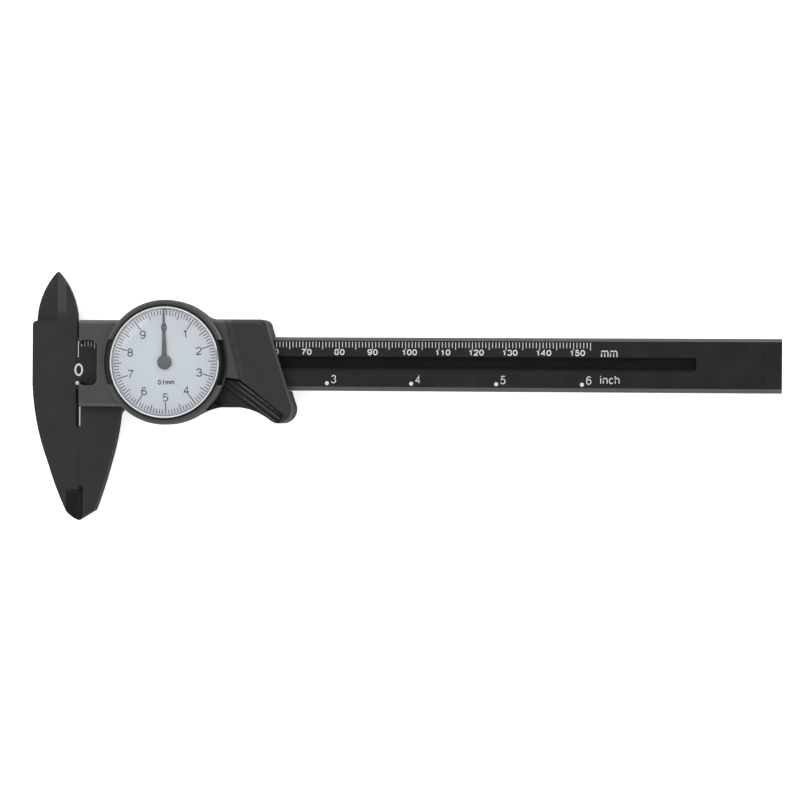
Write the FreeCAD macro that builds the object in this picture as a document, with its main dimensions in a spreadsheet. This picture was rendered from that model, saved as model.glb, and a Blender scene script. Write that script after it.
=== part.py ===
import FreeCAD, Part
import math
import os
import re

import Sketcher
from FreeCAD import Placement, Rotation, Vector

# Dial caliper with a moulded plastic body, 150 mm / 6 inch range, lying on its back.
# Local frame used by every drawing below: x runs along the beam from the closed
# jaw faces (x = 0), y runs across the beam from its centre line towards the
# inside jaws, z rises from the resting plane to the dial.  Each sub-part is then
# moved by the common shift, which puts the origin under the centre of the
# whole tool.

SIZES = [
    # alias, value in mm, meaning
    ("shift_x", -98.3, "common shift of every sub-part along the beam"),
    ("shift_y", 10.025, "common shift of every sub-part across the beam"),
    # beam
    ("beam_end", 210.9, "right end of the beam from the zero plane"),
    ("beam_height", 16.0, "height of the beam across its length"),
    ("beam_back", 1.7, "height of the beam's back face above the resting plane"),
    ("beam_front", 5.9, "height of the beam's front face"),
    ("bevel_top", 0.95, "width of the bevel along the upper front edge"),
    ("bevel_bottom", 1.25, "width of the bevel along the lower front edge"),
    ("bevel_drop", 0.6, "depth of both bevels"),
    ("groove_start", 20.0, "left end of the rack groove"),
    ("groove_end", 186.0, "right end of the rack groove"),
    ("groove_top", 2.31, "upper wall of the rack groove"),
    ("groove_low", 2.4, "lower wall of the rack groove, below the centre line"),
    ("groove_depth", 1.5, "depth of the rack groove"),
    ("rod_groove_start", 36.0, "left end of the depth rod's groove in the back"),
    ("rod_groove_width", 3.4, "width of the depth rod's groove"),
    ("rod_groove_depth", 1.6, "depth of the depth rod's groove"),
    # fixed jaws
    ("jaw_left", 14.3, "left edge of the fixed jaw"),
    ("jaw_top", 12.75, "top edge of the fixed jaw's body"),
    ("jaw_corner", 1.3, "rounding of the fixed jaw's top left corner"),
    ("jaw_bend", 6.5, "where the outer edge starts to curve in, below the centre line"),
    ("jaw_tip", 47.75, "lowest point of the outside jaws"),
    ("jaw_toe_x", 3.6, "start of the bevelled toe, from the zero plane"),
    ("jaw_toe_y", 44.9, "start of the bevelled toe, below the centre line"),
    ("jaw_curve_high", 75.0, "radius of the upper half of the curved outer edge"),
    ("jaw_curve_low", 105.0, "radius of the lower half of the curved outer edge"),
    ("jaw_toe_curve", 9.0, "radius of the toe"),
    ("jaw_mid_x", 9.35, "middle point of the curved outer edge"),
    ("jaw_mid_y", 30.15, "middle point of the curved outer edge"),
    ("relief_depth", 0.72, "depth of the relief in each measuring face"),
    ("relief_low", 19.75, "lower end of the relief"),
    ("knife_fixed", 3.6, "width of the fixed jaw's knife bevel"),
    ("knife_moving", 2.0, "width of the moving jaw's knife bevel"),
    ("knife_drop", 1.3, "depth of the knife bevels at the measuring edge"),
    ("knife_start", 38.2, "upper end of the knife bevels, below the centre line"),
    ("split_plane", 3.9, "back of the fixed inside blade, which the moving blade passes"),
    ("blade_gap", 0.1, "running gap between the two inside blades"),
    ("blade_edge", 6.9, "common measuring edge of the inside blades, left of zero"),
    ("blade_width", 6.55, "width of each inside blade at its base"),
    ("blade_tip", 27.7, "tip of the inside blades above the centre line"),
    ("tip_width", 0.7, "width of the inside blades' blunt tips"),
    ("tip_drop", 0.35, "height of the inside blades' blunt tips"),
    ("blade_base", 13.2, "where the curved edges of the inside blades start"),
    ("blade_curve", 23.0, "radius of the inside blades' curved edges"),
    ("facet_width", 3.0, "width of the inside blade's bevel"),
    ("facet_drop", 1.1, "depth of the inside blade's bevel"),
    ("facet_base", 15.2, "lower end of the inside blade's bevel"),
    # slider
    ("guide_gap", 0.08, "sliding gap between the rails and the beam's edges"),
    ("channel_floor", 1.6, "inner face of the slider's back wall"),
    ("split_line", 6.0, "joint between carriage and cover"),
    ("wall_end", 48.0, "right end of the back wall, which meets the end stop"),
    ("slider_left", 1.0, "left edge of the slider's casing"),
    ("slider_edge", 12.95, "top edge of the casing left of the dial"),
    ("slider_high_edge", 13.25, "top edge of the casing right of the dial"),
    ("slider_low_edge", 13.2, "bottom edge of the casing left of the dial"),
    ("slider_corner_x", 56.6, "start of the top right corner"),
    ("slider_slant_x", 58.8, "upper end of the slanted right edge"),
    ("slider_slant_y", 10.9, "upper end of the slanted right edge"),
    ("slider_waist_x", 61.2, "bend in the slanted right edge"),
    ("slider_waist_y", 3.0, "bend in the slanted right edge"),
    ("slider_low_x", 65.9, "lower end of the slanted right edge"),
    ("slider_low_y", 11.6, "lower end of the slanted right edge, below the centre line"),
    ("lobe_x", 59.4, "inner end of the thumb lobe"),
    ("lobe_y", 16.95, "inner end of the thumb lobe, below the centre line"),
    ("lobe_radius", 4.3, "radius of the thumb lobe's end"),
    ("hollow_x", 45.45, "where the rail's bottom edge turns into the thumb hollow"),
    ("hollow_start_x", 38.3, "start of the thumb hollow beside the dial cup"),
    ("hollow_start_y", 15.358, "start of the thumb hollow beside the dial cup, below the centre line"),
    ("hollow_radius", 19.2, "radius of the thumb hollow"),
    ("flare_radius", 3.0, "radius of the two flares left of the dial cup"),
    ("flare_wide", 5.0, "radius of the flare right of the dial cup"),
    ("flare_top_x", 12.85, "upper left flare where it leaves the casing's edge"),
    ("flare_low_x", 13.45, "lower left flare where it leaves the casing's edge"),
    ("flare_right_x", 43.4, "right flare where it leaves the casing's edge"),
    ("flare_reach", 1.268, "length of the left flares along the casing's edge"),
    ("flare_rise", 0.281, "rise of the left flares above the casing's edge"),
    ("flare_step_x", 1.81, "run of the casing's outline into the dial cup, along the beam"),
    ("flare_step_y", 0.845, "run of the casing's outline into the dial cup, across the beam"),
    ("gib_start", 22.0, "left end of the gib spring's pocket"),
    ("gib_end", 44.0, "right end of the gib spring's pocket"),
    ("gib_depth", 0.8, "depth of the gib spring's pocket"),
    ("gib_thick", 0.2, "thickness of the gib spring"),
    ("gib_bow", 88.3, "radius the gib spring is bowed to"),
    ("gib_low", 2.0, "lower edge of the gib spring"),
    ("gib_high", 5.6, "upper edge of the gib spring"),
    ("rail_top_x", 59.66, "right end of the upper rail where it meets the beam"),
    ("rail_low_x", 64.77, "right end of the lower rail where it meets the beam"),
    ("slider_corner", 2.4, "rounding of the casing's top right corner"),
    ("moving_toe_x", 5.15, "start of the moving jaw's toe, from the zero plane"),
    ("moving_toe_y", 44.6, "start of the moving jaw's toe, below the centre line"),
    ("moving_mid_x", 9.85, "middle point of the moving jaw's curved edge"),
    ("moving_mid_y", 29.9, "middle point of the moving jaw's curved edge"),
    ("moving_top_x", 12.7, "upper end of the moving jaw's curved edge"),
    ("moving_top_y", 15.6, "upper end of the moving jaw's curved edge"),
    ("moving_curve_low", 150.0, "radius of the moving jaw's lower edge"),
    ("moving_curve_high", 80.0, "radius of the moving jaw's upper edge"),
    ("moving_flare", 4.0, "radius of the flare into the casing"),
    ("moving_root_x", 15.2, "where the moving jaw flares into the casing"),
    # cover
    ("cover_top", 9.1, "front face of the cover"),
    ("cover_round", 1.2, "rounding of the cover's front edges"),
    ("window_right", 6.57, "right edge of the reading window"),
    ("window_top", 6.9, "upper edge of the reading window"),
    ("window_low", 6.85, "lower edge of the reading window"),
    ("window_corner", 1.9, "corner rounding of the reading window"),
    ("window_lip", 0.25, "least thickness of the two lips beside the fixed jaw"),
    ("window_mouth", 1.2, "height and corner radius of the two lips beside the fixed jaw"),
    ("window_round", 0.2, "rounding of the window's front edge"),
    ("pad_drop", 0.45, "depth of the textured pad below the cover's front"),
    ("valley_width", 1.3, "width of the slope down to the pad"),
    ("valley_turn", -78.6, "direction of the pad's left edge, in degrees"),
    ("valley_top_x", 48.4, "upper end of the pad's left edge"),
    ("valley_low_x", 54.9, "lower end of the pad's left edge, under the grip"),
    ("dial_x", 27.8, "dial axis from the zero plane"),
    ("dial_y", 0.25, "dial axis above the beam's centre line"),
    ("cup_radius", 18.75, "outside of the dial cup"),
    ("cup_top", 11.2, "rim of the dial cup"),
    ("cup_floor", 7.2, "floor of the dial cup"),
    ("cup_bevel", 0.45, "bevel on the cup's outer rim"),
    ("cup_bore", 17.35, "bore that the bezel turns in"),
    ("cup_ledge", 8.4, "ledge that carries the bezel"),
    ("cup_well", 16.4, "bore below the ledge"),
    ("finger_half", 6.8, "half width of the finger openings in the cup's wall"),
    ("finger_edge", 17.63, "outer corner of the finger openings, from the dial axis"),
    ("finger_curve", 18.9, "radius of the finger openings' outer wall"),
    ("finger_inner", 15.6, "inner corner of the finger openings, from the dial axis"),
    ("ring_groove", 17.65, "radius of the snap ring's groove in the cup"),
    ("ring_groove_low", 9.5, "lower face of the snap ring's groove"),
    ("ring_groove_high", 9.95, "upper face of the snap ring's groove"),
    # thumb grip
    ("grip_start_x", 46.0, "left end of the grip's upper edge"),
    ("grip_start_y", 4.1, "left end of the grip's upper edge, below the centre line"),
    ("grip_bend_x", 50.3, "bend in the grip's upper edge"),
    ("grip_bend_y", 4.75, "bend in the grip's upper edge, below the centre line"),
    ("grip_end_x", 63.9, "right end of the grip's upper edge"),
    ("grip_end_y", 15.3, "right end of the grip's upper edge, below the centre line"),
    ("grip_foot_x", 40.3, "left end of the grip's hollow edge"),
    ("grip_foot_y", 14.34, "left end of the grip's hollow edge, below the centre line"),
    ("grip_foot_height", 0.55, "height of the grip's left end"),
    ("grip_heel_x", 61.8, "right end of the grip's rounded heel"),
    ("grip_heel_y", 17.89, "right end of the grip's rounded heel, below the centre line"),
    ("grip_cup_radius", 18.8, "radius of the edge beside the dial cup"),
    ("grip_gap", 0.7, "open groove between the cover and the grip"),
    ("grip_high", 8.4, "height of the grip's surface at its upper edge"),
    ("grip_slope", 10.5, "length over which the grip's surface falls"),
    ("grip_fall", 1.6, "fall of the grip's surface"),
    ("grip_turn", -36.5, "direction of the grip's upper edge, in degrees"),
    ("rib_first", 1.3, "first groove from the grip's upper edge"),
    ("rib_pitch", 1.5, "distance between the grip's ribs"),
    ("rib_groove", 0.7, "width of the grooves between the ribs"),
    ("rib_depth", 0.45, "depth of the grooves between the ribs"),
    ("rib_count", 3, "number of grooves between the ribs"),
    # movement
    ("pitch", 1.0, "pitch of the rack's teeth"),
    ("pinion_teeth", 10, "teeth of the drive pinion"),
    ("pinion_tip", 0.28, "height of the pinion's teeth above the pitch circle"),
    ("pinion_root", 0.26, "depth of the pinion's gaps below the pitch circle"),
    ("rack_tip", 0.17, "height of the rack's teeth above the pitch line"),
    ("rack_root", 0.4, "depth of the rack's gaps below the pitch line"),
    ("backlash", 0.06, "play between the teeth along the pitch line"),
    ("rack_sink", 0.05, "how far the rack lies below the beam's front"),
    ("pinion_low", 4.6, "lower face of the pinion"),
    ("pinion_high", 5.75, "upper face of the pinion"),
    ("shaft_radius", 0.6, "radius of the pinion shaft"),
    ("bearing_gap", 0.02, "running gap in the two bushes"),
    ("bush_radius", 1.6, "outside of the bushes"),
    ("plate_low", 8.7, "back of the movement plate"),
    ("plate_high", 9.3, "front of the movement plate"),
    ("plate_width", 7.0, "width of the movement plate"),
    ("post_circle", 9.5, "distance of the movement posts from the dial axis"),
    ("post_radius", 1.9, "radius of the movement posts"),
    ("needle_low", 10.7, "back of the pointer"),
    ("needle_thick", 0.15, "thickness of the pointer"),
    ("needle_reach", 15.9, "tip of the pointer from its axis"),
    ("needle_root", 0.85, "half width of the pointer at its root"),
    ("needle_point", 0.17, "half width of the pointer at its tip"),
    ("needle_ring", 1.6, "radius of the pointer's eye"),
    ("hub_radius", 2.15, "radius of the pointer's hub"),
    ("hub_round", 0.3, "rounding of the hub's front"),
    ("shaft_low", 4.5, "lower end of the pinion shaft"),
    ("shaft_top", 11.1, "upper end of the pinion shaft"),
    ("movement_screw_head", 0.95, "radius of the movement screws' heads"),
    ("movement_screw_top", 9.85, "front of the movement screws' heads"),
    ("movement_screw_low", 6.7, "end of the movement screws"),
    ("hub_top", 11.3, "front of the pointer's hub"),
    ("rest_turn", 1.6, "turn of dial and pointer at rest, in degrees"),
    # bezel
    ("bezel_radius", 17.27, "outside of the turning bezel"),
    ("bezel_low", 8.45, "back of the bezel"),
    ("bezel_high", 11.5, "front of the bezel"),
    ("bezel_neck", 17.0, "bottom of the bezel's groove for the snap ring"),
    ("bezel_edge", 0.2, "bevel on the bezel's outer edge"),
    ("knurl_count", 90, "notches in the bezel's edge"),
    ("knurl_radius", 0.22, "radius of the notches in the bezel's edge"),
    ("knurl_low", 10.2, "lower end of the notches in the bezel's edge"),
    ("snap_low", 9.55, "back of the bezel's snap ring"),
    ("snap_high", 9.9, "front of the bezel's snap ring"),
    ("snap_inner", 17.05, "inner radius of the bezel's snap ring"),
    ("snap_outer", 17.6, "outer radius of the bezel's snap ring"),
    ("bezel_bore", 16.68, "bore that holds dial plate and crystal"),
    ("bezel_seat", 15.9, "bore below the dial plate's seat"),
    ("dial_back", 10.0, "back of the dial plate"),
    ("dial_front", 10.45, "front of the dial plate"),
    ("dial_radius", 16.62, "radius of the dial plate"),
    ("dial_bore", 1.0, "hole for the pinion shaft"),
    ("dial_step", 0.15, "depth of the step round the dial plate's edge"),
    ("dial_step_radius", 15.95, "inner radius of that step"),
    ("crystal_radius", 16.64, "outside of the crystal"),
    ("crystal_inner", 16.25, "inside of the crystal's skirt"),
    ("crystal_rim", 11.05, "top of the crystal's rim"),
    ("crystal_dome", 16.28, "edge of the crystal's dome"),
    ("crystal_inside", 10.95, "edge of the dome's inside"),
    ("keeper_inner", 16.3, "inner radius of the crystal's retaining ring"),
    ("keeper_outer", 16.9, "outer radius of the crystal's retaining ring"),
    ("keeper_groove", 16.95, "radius of the groove for the crystal's retaining ring"),
    ("keeper_low", 11.05, "back of the crystal's retaining ring"),
    ("keeper_high", 11.27, "front of the crystal's retaining ring"),
    ("keeper_slot", 11.3, "front face of the retaining ring's groove"),
    ("ring_opening", 12.0, "gap in both spring rings, in degrees"),
    ("crystal_top", 12.5, "top of the crystal"),
    ("crystal_wall", 0.75, "thickness of the crystal"),
    # depth rod and end stop
    ("rod_width", 3.2, "width of the depth rod"),
    ("rod_low", 1.76, "back of the depth rod"),
    ("rod_high", 3.2, "front of the depth rod"),
    ("rod_start", 38.5, "left end of the depth rod"),
    ("rod_pad_end", 46.5, "right end of the pad that seats on the back wall"),
    ("rod_tip_length", 6.0, "length of the depth rod's narrow tip"),
    ("rod_tip_width", 1.6, "width of the depth rod's narrow tip"),
    ("rod_screw", 0.6, "radius of the depth rod's screws"),
    ("rod_screw_left", 40.5, "first screw of the depth rod"),
    ("rod_screw_right", 44.5, "second screw of the depth rod"),
    ("rod_screw_tip", 2.9, "end of the depth rod's screws"),
    ("small_head", 1.1, "radius of the small screws' heads"),
    ("head_back", 0.15, "back of the screw heads"),
    ("head_seat", 0.85, "seat of the small screw heads"),
    ("head_seat_large", 1.15, "seat of the cover screws' heads"),
    ("screw_slot", 0.3, "width of the slots in the screw heads"),
    ("stop_left", 203.0, "left face of the end stop"),
    ("stop_right", 208.0, "right face of the end stop"),
    ("stop_half", 7.4, "half width of the end stop"),
    ("stop_screw_x", 205.4, "end stop's screws from the zero plane"),
    ("stop_screw_y", 3.7, "end stop's screws from the centre line"),
    ("stop_bevel", 0.5, "bevel on the end stop's edges"),
    ("stop_screw_tip", 5.75, "end of the end stop's screws"),
    ("small_screw", 0.5, "radius of the small screws"),
    ("cover_screw", 0.8, "radius of the cover screws"),
    ("cover_screw_head", 1.6, "radius of the cover screws' heads"),
    ("cover_screw_y", 10.6, "cover screws from the centre line"),
    ("cover_screw_left", 5.2, "left pair of cover screws"),
    ("cover_screw_right", 52.5, "right pair of cover screws"),
    ("cover_screw_tip", 7.2, "end of the cover screws"),
]
SIZE = {alias: amount for alias, amount, meaning in SIZES}

doc = FreeCAD.newDocument("dial_caliper")
sheet = doc.addObject("Spreadsheet::Sheet", "Dims")
for row, (alias, amount, meaning) in enumerate(SIZES, start=1):
    sheet.set(f"A{row}", alias)
    sheet.set(f"B{row}", str(amount))
    sheet.set(f"C{row}", meaning)
    sheet.setAlias(f"B{row}", alias)
doc.recompute()


# ---------------------------------------------------------------- helpers

def value(term):
    """Number for a term such as '-jaw_left + 2 * blade_gap'."""
    total = 0.0
    for sign, product in re.findall(r"([+-]?)\s*([a-z_0-9.]+(?:\s*[*/]\s*[a-z_0-9.]+)*)", term):
        amount = -1.0 if sign == "-" else 1.0
        divide = False
        for token in re.findall(r"[a-z_0-9.]+|[*/]", product):
            if token in "*/":
                divide = token == "/"
                continue
            number = SIZE[token] if token in SIZE else float(token)
            amount = amount / number if divide else amount * number
        total += amount
    return total


def bind(target, prop, term):
    """Tie a property to the sheet."""
    target.setExpression(prop, re.sub(r"[a-z][a-z_]*", lambda word: "Dims." + word.group(0), term))


def place(target, at_x="0", at_y="0"):
    """Common shift, plus the sub-part's own local origin."""
    bind(target, "Placement.Base.x", "shift_x + " + at_x)
    bind(target, "Placement.Base.y", "shift_y + " + at_y)


def new_body(label, at_x="0", at_y="0"):
    body = doc.addObject("PartDesign::Body", label)
    body.Label = label
    place(body, at_x, at_y)
    return body


def new_sketch(body, plane="XY_Plane", height=None):
    sketch = body.newObject("Sketcher::SketchObject", body.Name + "_sketch")
    support = [item for item in body.Origin.OriginFeatures if item.Role == plane][0]
    sketch.AttachmentSupport = [(support, "")]
    sketch.MapMode = "FlatFace"
    if height:
        bind(sketch, "AttachmentOffset.Base.z", height)
    return sketch


def pin_point(sketch, geo, pos, x_term, y_term):
    """Hold a point of the sketch at sheet-driven coordinates."""
    for kind, term, axis in (("DistanceX", x_term, -2), ("DistanceY", y_term, -1)):
        if abs(value(term)) < 1e-9:
            sketch.addConstraint(Sketcher.Constraint("PointOnObject", geo, pos, axis))
            continue
        index = sketch.addConstraint(Sketcher.Constraint(kind, -1, 1, geo, pos, value(term)))
        bind(sketch, f"Constraints[{index}]", term)


def arc_between(start, end, radius):
    """Minor arc; a positive radius turns left on the way from start to end."""
    chord = end - start
    middle = (start + end) * 0.5
    rise = math.sqrt(max(radius * radius - chord.Length ** 2 / 4, 0.0))
    left = Vector(-chord.y, chord.x, 0).normalize()
    centre = middle + left * (rise if radius > 0 else -rise)
    first, last = (start, end) if radius > 0 else (end, start)
    angles = [math.atan2(point.y - centre.y, point.x - centre.x) for point in (first, last)]
    circle = Part.Circle(centre, Vector(0, 0, 1), abs(radius))
    return Part.ArcOfCircle(circle, angles[0], angles[1])


def arc_radius(start, end, term):
    """Signed radius of an arc from its term, or of an arc centred on the upright axis."""
    if "axis" not in term:
        return value(term)
    centre = (end.dot(end) - start.dot(start)) / (2 * (end.y - start.y))
    reach = (start - Vector(0, centre, 0)).Length
    return -reach if term.startswith("-") else reach


def outline(sketch, corners):
    """Closed loop of lines and arcs.

    A corner is (x, y), or (x, y, radius) where the edge that leaves it is an arc.
    The radius 'axis' makes an arc whose centre lies on the sketch's upright axis.
    """
    points = [Vector(value(corner[0]), value(corner[1]), 0) for corner in corners]
    ends = []
    for index, corner in enumerate(corners):
        start, end = points[index], points[(index + 1) % len(points)]
        if len(corner) == 3:
            radius = arc_radius(start, end, corner[2])
            geo = sketch.addGeometry(arc_between(start, end, radius))
            ends.append((geo, 1, 2) if radius > 0 else (geo, 2, 1))
        else:
            geo = sketch.addGeometry(Part.LineSegment(start, end))
            ends.append((geo, 1, 2))
    for index, corner in enumerate(corners):
        geo, head, tail = ends[index]
        next_geo, next_head, next_tail = ends[(index + 1) % len(corners)]
        sketch.addConstraint(Sketcher.Constraint("Coincident", geo, tail, next_geo, next_head))
        pin_point(sketch, geo, head, corner[0], corner[1])
        if len(corner) == 3 and "axis" in corner[2]:
            sketch.addConstraint(Sketcher.Constraint("PointOnObject", geo, 3, -2))
        elif len(corner) == 3:
            radius = corner[2].lstrip("-")
            place_at = sketch.addConstraint(Sketcher.Constraint("Radius", geo, value(radius)))
            bind(sketch, f"Constraints[{place_at}]", radius)
    return sketch


def rectangle(sketch, left, low, right, high):
    return outline(sketch, [(left, low), (right, low), (right, high), (left, high)])


def circle(sketch, x_term, y_term, radius):
    centre = Vector(value(x_term), value(y_term), 0)
    geo = sketch.addGeometry(Part.Circle(centre, Vector(0, 0, 1), value(radius)))
    pin_point(sketch, geo, 3, x_term, y_term)
    index = sketch.addConstraint(Sketcher.Constraint("Radius", geo, value(radius)))
    bind(sketch, f"Constraints[{index}]", radius)
    return sketch


def pad(body, sketch, length):
    """Solid that rises from the sketch."""
    feature = body.newObject("PartDesign::Pad", body.Name + "_pad")
    feature.Profile = sketch
    bind(feature, "Length", length)
    return feature


def check_cut(body, before):
    doc.recompute()
    if body.Shape.Volume >= before - 1e-6:
        raise RuntimeError(body.Label + ": a cut removed nothing")


def pocket(body, sketch, depth):
    """Cut that goes down from the sketch."""
    doc.recompute()
    before = body.Shape.Volume
    feature = body.newObject("PartDesign::Pocket", body.Name + "_pocket")
    feature.Profile = sketch
    bind(feature, "Length", depth)
    check_cut(body, before)
    return feature


def turned(body, corners, cut=False):
    """Revolve a profile of (radius, height) corners about the body's own z axis."""
    sketch = outline(new_sketch(body, "XZ_Plane"), corners)
    doc.recompute()
    before = body.Shape.Volume if cut else 0.0
    kind = "Groove" if cut else "Revolution"
    feature = body.newObject("PartDesign::" + kind, body.Name + "_turned")
    feature.Profile = sketch
    feature.ReferenceAxis = (sketch, ["V_Axis"])
    feature.Angle = 360
    if cut:
        check_cut(body, before)
    return feature


def edge_names(feature, test):
    """Names of the edges whose every sample point passes the test."""
    names = []
    for index, edge in enumerate(feature.Shape.Edges, start=1):
        if all(test(point) for point in edge.discretize(5)):
            names.append(f"Edge{index}")
    return names


def soften(body, kind, size_term, test):
    """Fillet or Chamfer on the edges of the body's tip that pass the test."""
    doc.recompute()
    base = body.Tip
    names = edge_names(base, test)
    feature = body.newObject("PartDesign::" + kind, body.Name + "_" + kind.lower())
    feature.Base = (base, names)
    bind(feature, "Radius" if kind == "Fillet" else "Size", size_term)
    doc.recompute()
    return feature


def solid_feature(label, shape, at_x="0", at_y="0", turn=0.0):
    """Piece whose outline comes from a formula, such as a row of teeth."""
    feature = doc.addObject("Part::Feature", label)
    feature.Label = label
    feature.Shape = shape
    shift = Vector(value("shift_x + " + at_x), value("shift_y + " + at_y), 0)
    feature.Placement = Placement(shift, Rotation(Vector(0, 0, 1), turn))
    place(feature, at_x, at_y)
    return feature


def plane_cut(body, plane, offset, corners, length, towards_plus):
    """Cut a profile drawn in an upright plane through the body.

    plane is 'XZ_Plane' (profile of x and z, cut along y) or 'YZ_Plane' (profile of
    y and z, cut along x).  offset is the plane's place on the axis that it cuts along.
    """
    along_y = plane == "XZ_Plane"
    away = "-1 * " + offset if along_y and offset != "0" else offset
    sketch = outline(new_sketch(body, plane, away if offset != "0" else None), corners)
    doc.recompute()
    before = body.Shape.Volume
    feature = body.newObject("PartDesign::Pocket", body.Name + "_pocket")
    feature.Profile = sketch
    feature.Reversed = towards_plus != along_y
    bind(feature, "Length", length)
    check_cut(body, before)
    return feature


def slanted_profile(body, x_term, y_term, turn, corners):
    """Profile in an upright plane square to a slanted line, measured from that line.

    The line runs through (x_term, y_term) in the direction turn, in degrees.
    """
    sketch = outline(new_sketch(body, "YZ_Plane"), corners)
    sketch.AttachmentOffset = Placement(Vector(0, 0, 0), Rotation(Vector(0, 1, 0), value(turn)))
    bind(sketch, "AttachmentOffset.Base.x", y_term)
    bind(sketch, "AttachmentOffset.Base.z", x_term)
    bind(sketch, "AttachmentOffset.Rotation.Angle", turn)
    return sketch


def slanted_cut(body, sketch):
    """Cut the profile through the body, both ways along its line."""
    doc.recompute()
    before = body.Shape.Volume
    feature = body.newObject("PartDesign::Pocket", body.Name + "_pocket")
    feature.Profile = sketch
    feature.Midplane = True
    bind(feature, "Length", "beam_end")
    check_cut(body, before)


# ---------------------------------------------------------------- shared shapes

HALF = "beam_height / 2"
RAIL = "beam_height / 2 + guide_gap"
JAW_THICK = "beam_front - beam_back"


def knife_bevel(body, outer_x):
    """Bevel that thins an outside jaw towards its measuring edge, near the tip."""
    corners = [(outer_x, "beam_front"), ("0", "beam_front - knife_drop"), ("0", "beam_front")]
    plane_cut(body, "XZ_Plane", "-knife_start", corners, "jaw_tip - knife_start + 1", False)


def prism(points, low, high):
    """Upright solid between two heights over a closed plan outline."""
    corners = [Vector(x_at, y_at, low) for x_at, y_at in points]
    return Part.Face(Part.makePolygon(corners + [corners[0]])).extrude(Vector(0, 0, high - low))


def screw_group(label, places, shank, head, head_low, seat, tip):
    """Identical slotted screws, driven from the back, as separate solids of one node."""
    solids = []
    for x_term, y_term in places:
        at = Vector(value(x_term), value(y_term), 0)
        back = at + Vector(0, 0, value(head_low))
        top = Part.makeCylinder(value(head), value(seat) - value(head_low), back)
        rod = Part.makeCylinder(value(shank), value(tip) - value(seat), at + Vector(0, 0, value(seat)))
        slot = Part.makeBox(2 * value(head), value("screw_slot"), value("screw_slot"))
        slot.translate(at + Vector(-value(head), -value("screw_slot") / 2, value(head_low)))
        solids.append(top.fuse(rod).cut(slot).removeSplitter().Solids[0])
    return solid_feature(label, Part.makeCompound(solids))


# ---------------------------------------------------------------- beam and fixed jaws

def main_beam():
    """Beam with both fixed jaws, one moulding."""
    body = new_body("main_beam")
    rectangle(new_sketch(body, height="beam_back"), "-relief_depth", "-" + HALF, "beam_end", HALF)
    pad(body, body.Group[-1], JAW_THICK)
    fixed_jaws(body)
    rack_groove = new_sketch(body, height="beam_front")
    rectangle(rack_groove, "groove_start", "-groove_low", "groove_end", "groove_top")
    pocket(body, rack_groove, "groove_depth")
    rod_groove = new_sketch(body, height="beam_back + rod_groove_depth")
    rectangle(rod_groove, "rod_groove_start", "-rod_groove_width / 2", "beam_end", "rod_groove_width / 2")
    pocket(body, rod_groove, "rod_groove_depth")
    holes = new_sketch(body, height="beam_front")
    for side in ("", "-"):
        circle(holes, "stop_screw_x", side + "stop_screw_y", "small_screw")
    pocket(body, holes, JAW_THICK)
    for side, bevel in (("", "bevel_top"), ("-", "bevel_bottom")):
        inner = side + HALF + (" - " if side == "" else " + ") + bevel
        outer = side + HALF
        corners = [(outer, "beam_front"), (outer, "beam_front - bevel_drop"), (inner, "beam_front")]
        plane_cut(body, "YZ_Plane", "0", corners, "beam_end", True)
    knife_bevel(body, "-knife_fixed")
    facet = [("-blade_edge", "beam_front"), ("-blade_edge", "beam_front - facet_drop"),
             ("-blade_edge + facet_width", "beam_front")]
    plane_cut(body, "XZ_Plane", "facet_base", facet, "blade_tip - facet_base + 1", True)
    return body


def fixed_jaws(body):
    """Outside jaw below the beam, thin shoulder and inside blade above it."""
    jaw = new_sketch(body, height="beam_back")
    outline(jaw, [
        ("-jaw_left", HALF),
        ("-jaw_left", "-jaw_bend", "jaw_curve_high"),
        ("-jaw_mid_x", "-jaw_mid_y", "jaw_curve_low"),
        ("-jaw_toe_x", "-jaw_toe_y", "jaw_toe_curve"),
        ("0", "-jaw_tip"),
        ("0", "-relief_low"),
        ("-relief_depth", "-relief_low + relief_depth"),
        ("-relief_depth", HALF),
    ])
    pad(body, jaw, JAW_THICK)
    shoulder = new_sketch(body, height="split_plane")
    outline(shoulder, [
        ("-jaw_left", "-beam_height / 4"),
        ("-relief_depth / 2", "-beam_height / 4"),
        ("-relief_depth / 2", "jaw_top"),
        ("-jaw_left + jaw_corner", "jaw_top", "jaw_corner"),
        ("-jaw_left", "jaw_top - jaw_corner"),
    ])
    pad(body, shoulder, "beam_front - split_plane")
    blade = new_sketch(body, height="split_plane")
    outline(blade, [
        ("-blade_edge", HALF),
        ("-blade_edge + blade_width", HALF),
        ("-blade_edge + blade_width", "blade_base", "blade_curve"),
        ("-blade_edge + tip_width", "blade_tip - tip_drop"),
        ("-blade_edge", "blade_tip"),
    ])
    pad(body, blade, "beam_front - split_plane")


def rack():
    """Toothed strip pressed into the lower side of the rack groove."""
    pitch = value("pitch")
    line = value("dial_y") - pinion_pitch_radius()
    tip, root = line + value("rack_tip"), line - value("rack_root")
    lean = math.tan(PRESSURE_ANGLE)
    first = value("dial_x") - pitch * math.floor((value("dial_x") - value("groove_start")) / pitch - 1)
    foot = value("beam_front - groove_depth")
    points = [(value("groove_start"), -value("groove_low")), (value("groove_start"), tip)]
    half_gap = (pitch / 2 + value("backlash") / 2) / 2
    centre = first
    while centre + pitch < value("groove_end"):
        for side, level in ((-1, tip), (-1, root), (1, root), (1, tip)):
            reach = half_gap + (level - line) * lean
            points.append((centre + side * reach, level))
        centre += pitch
    points += [(value("groove_end"), tip), (value("groove_end"), -value("groove_low"))]
    return solid_feature("rack", prism(points, foot, value("beam_front - rack_sink")))


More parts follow.
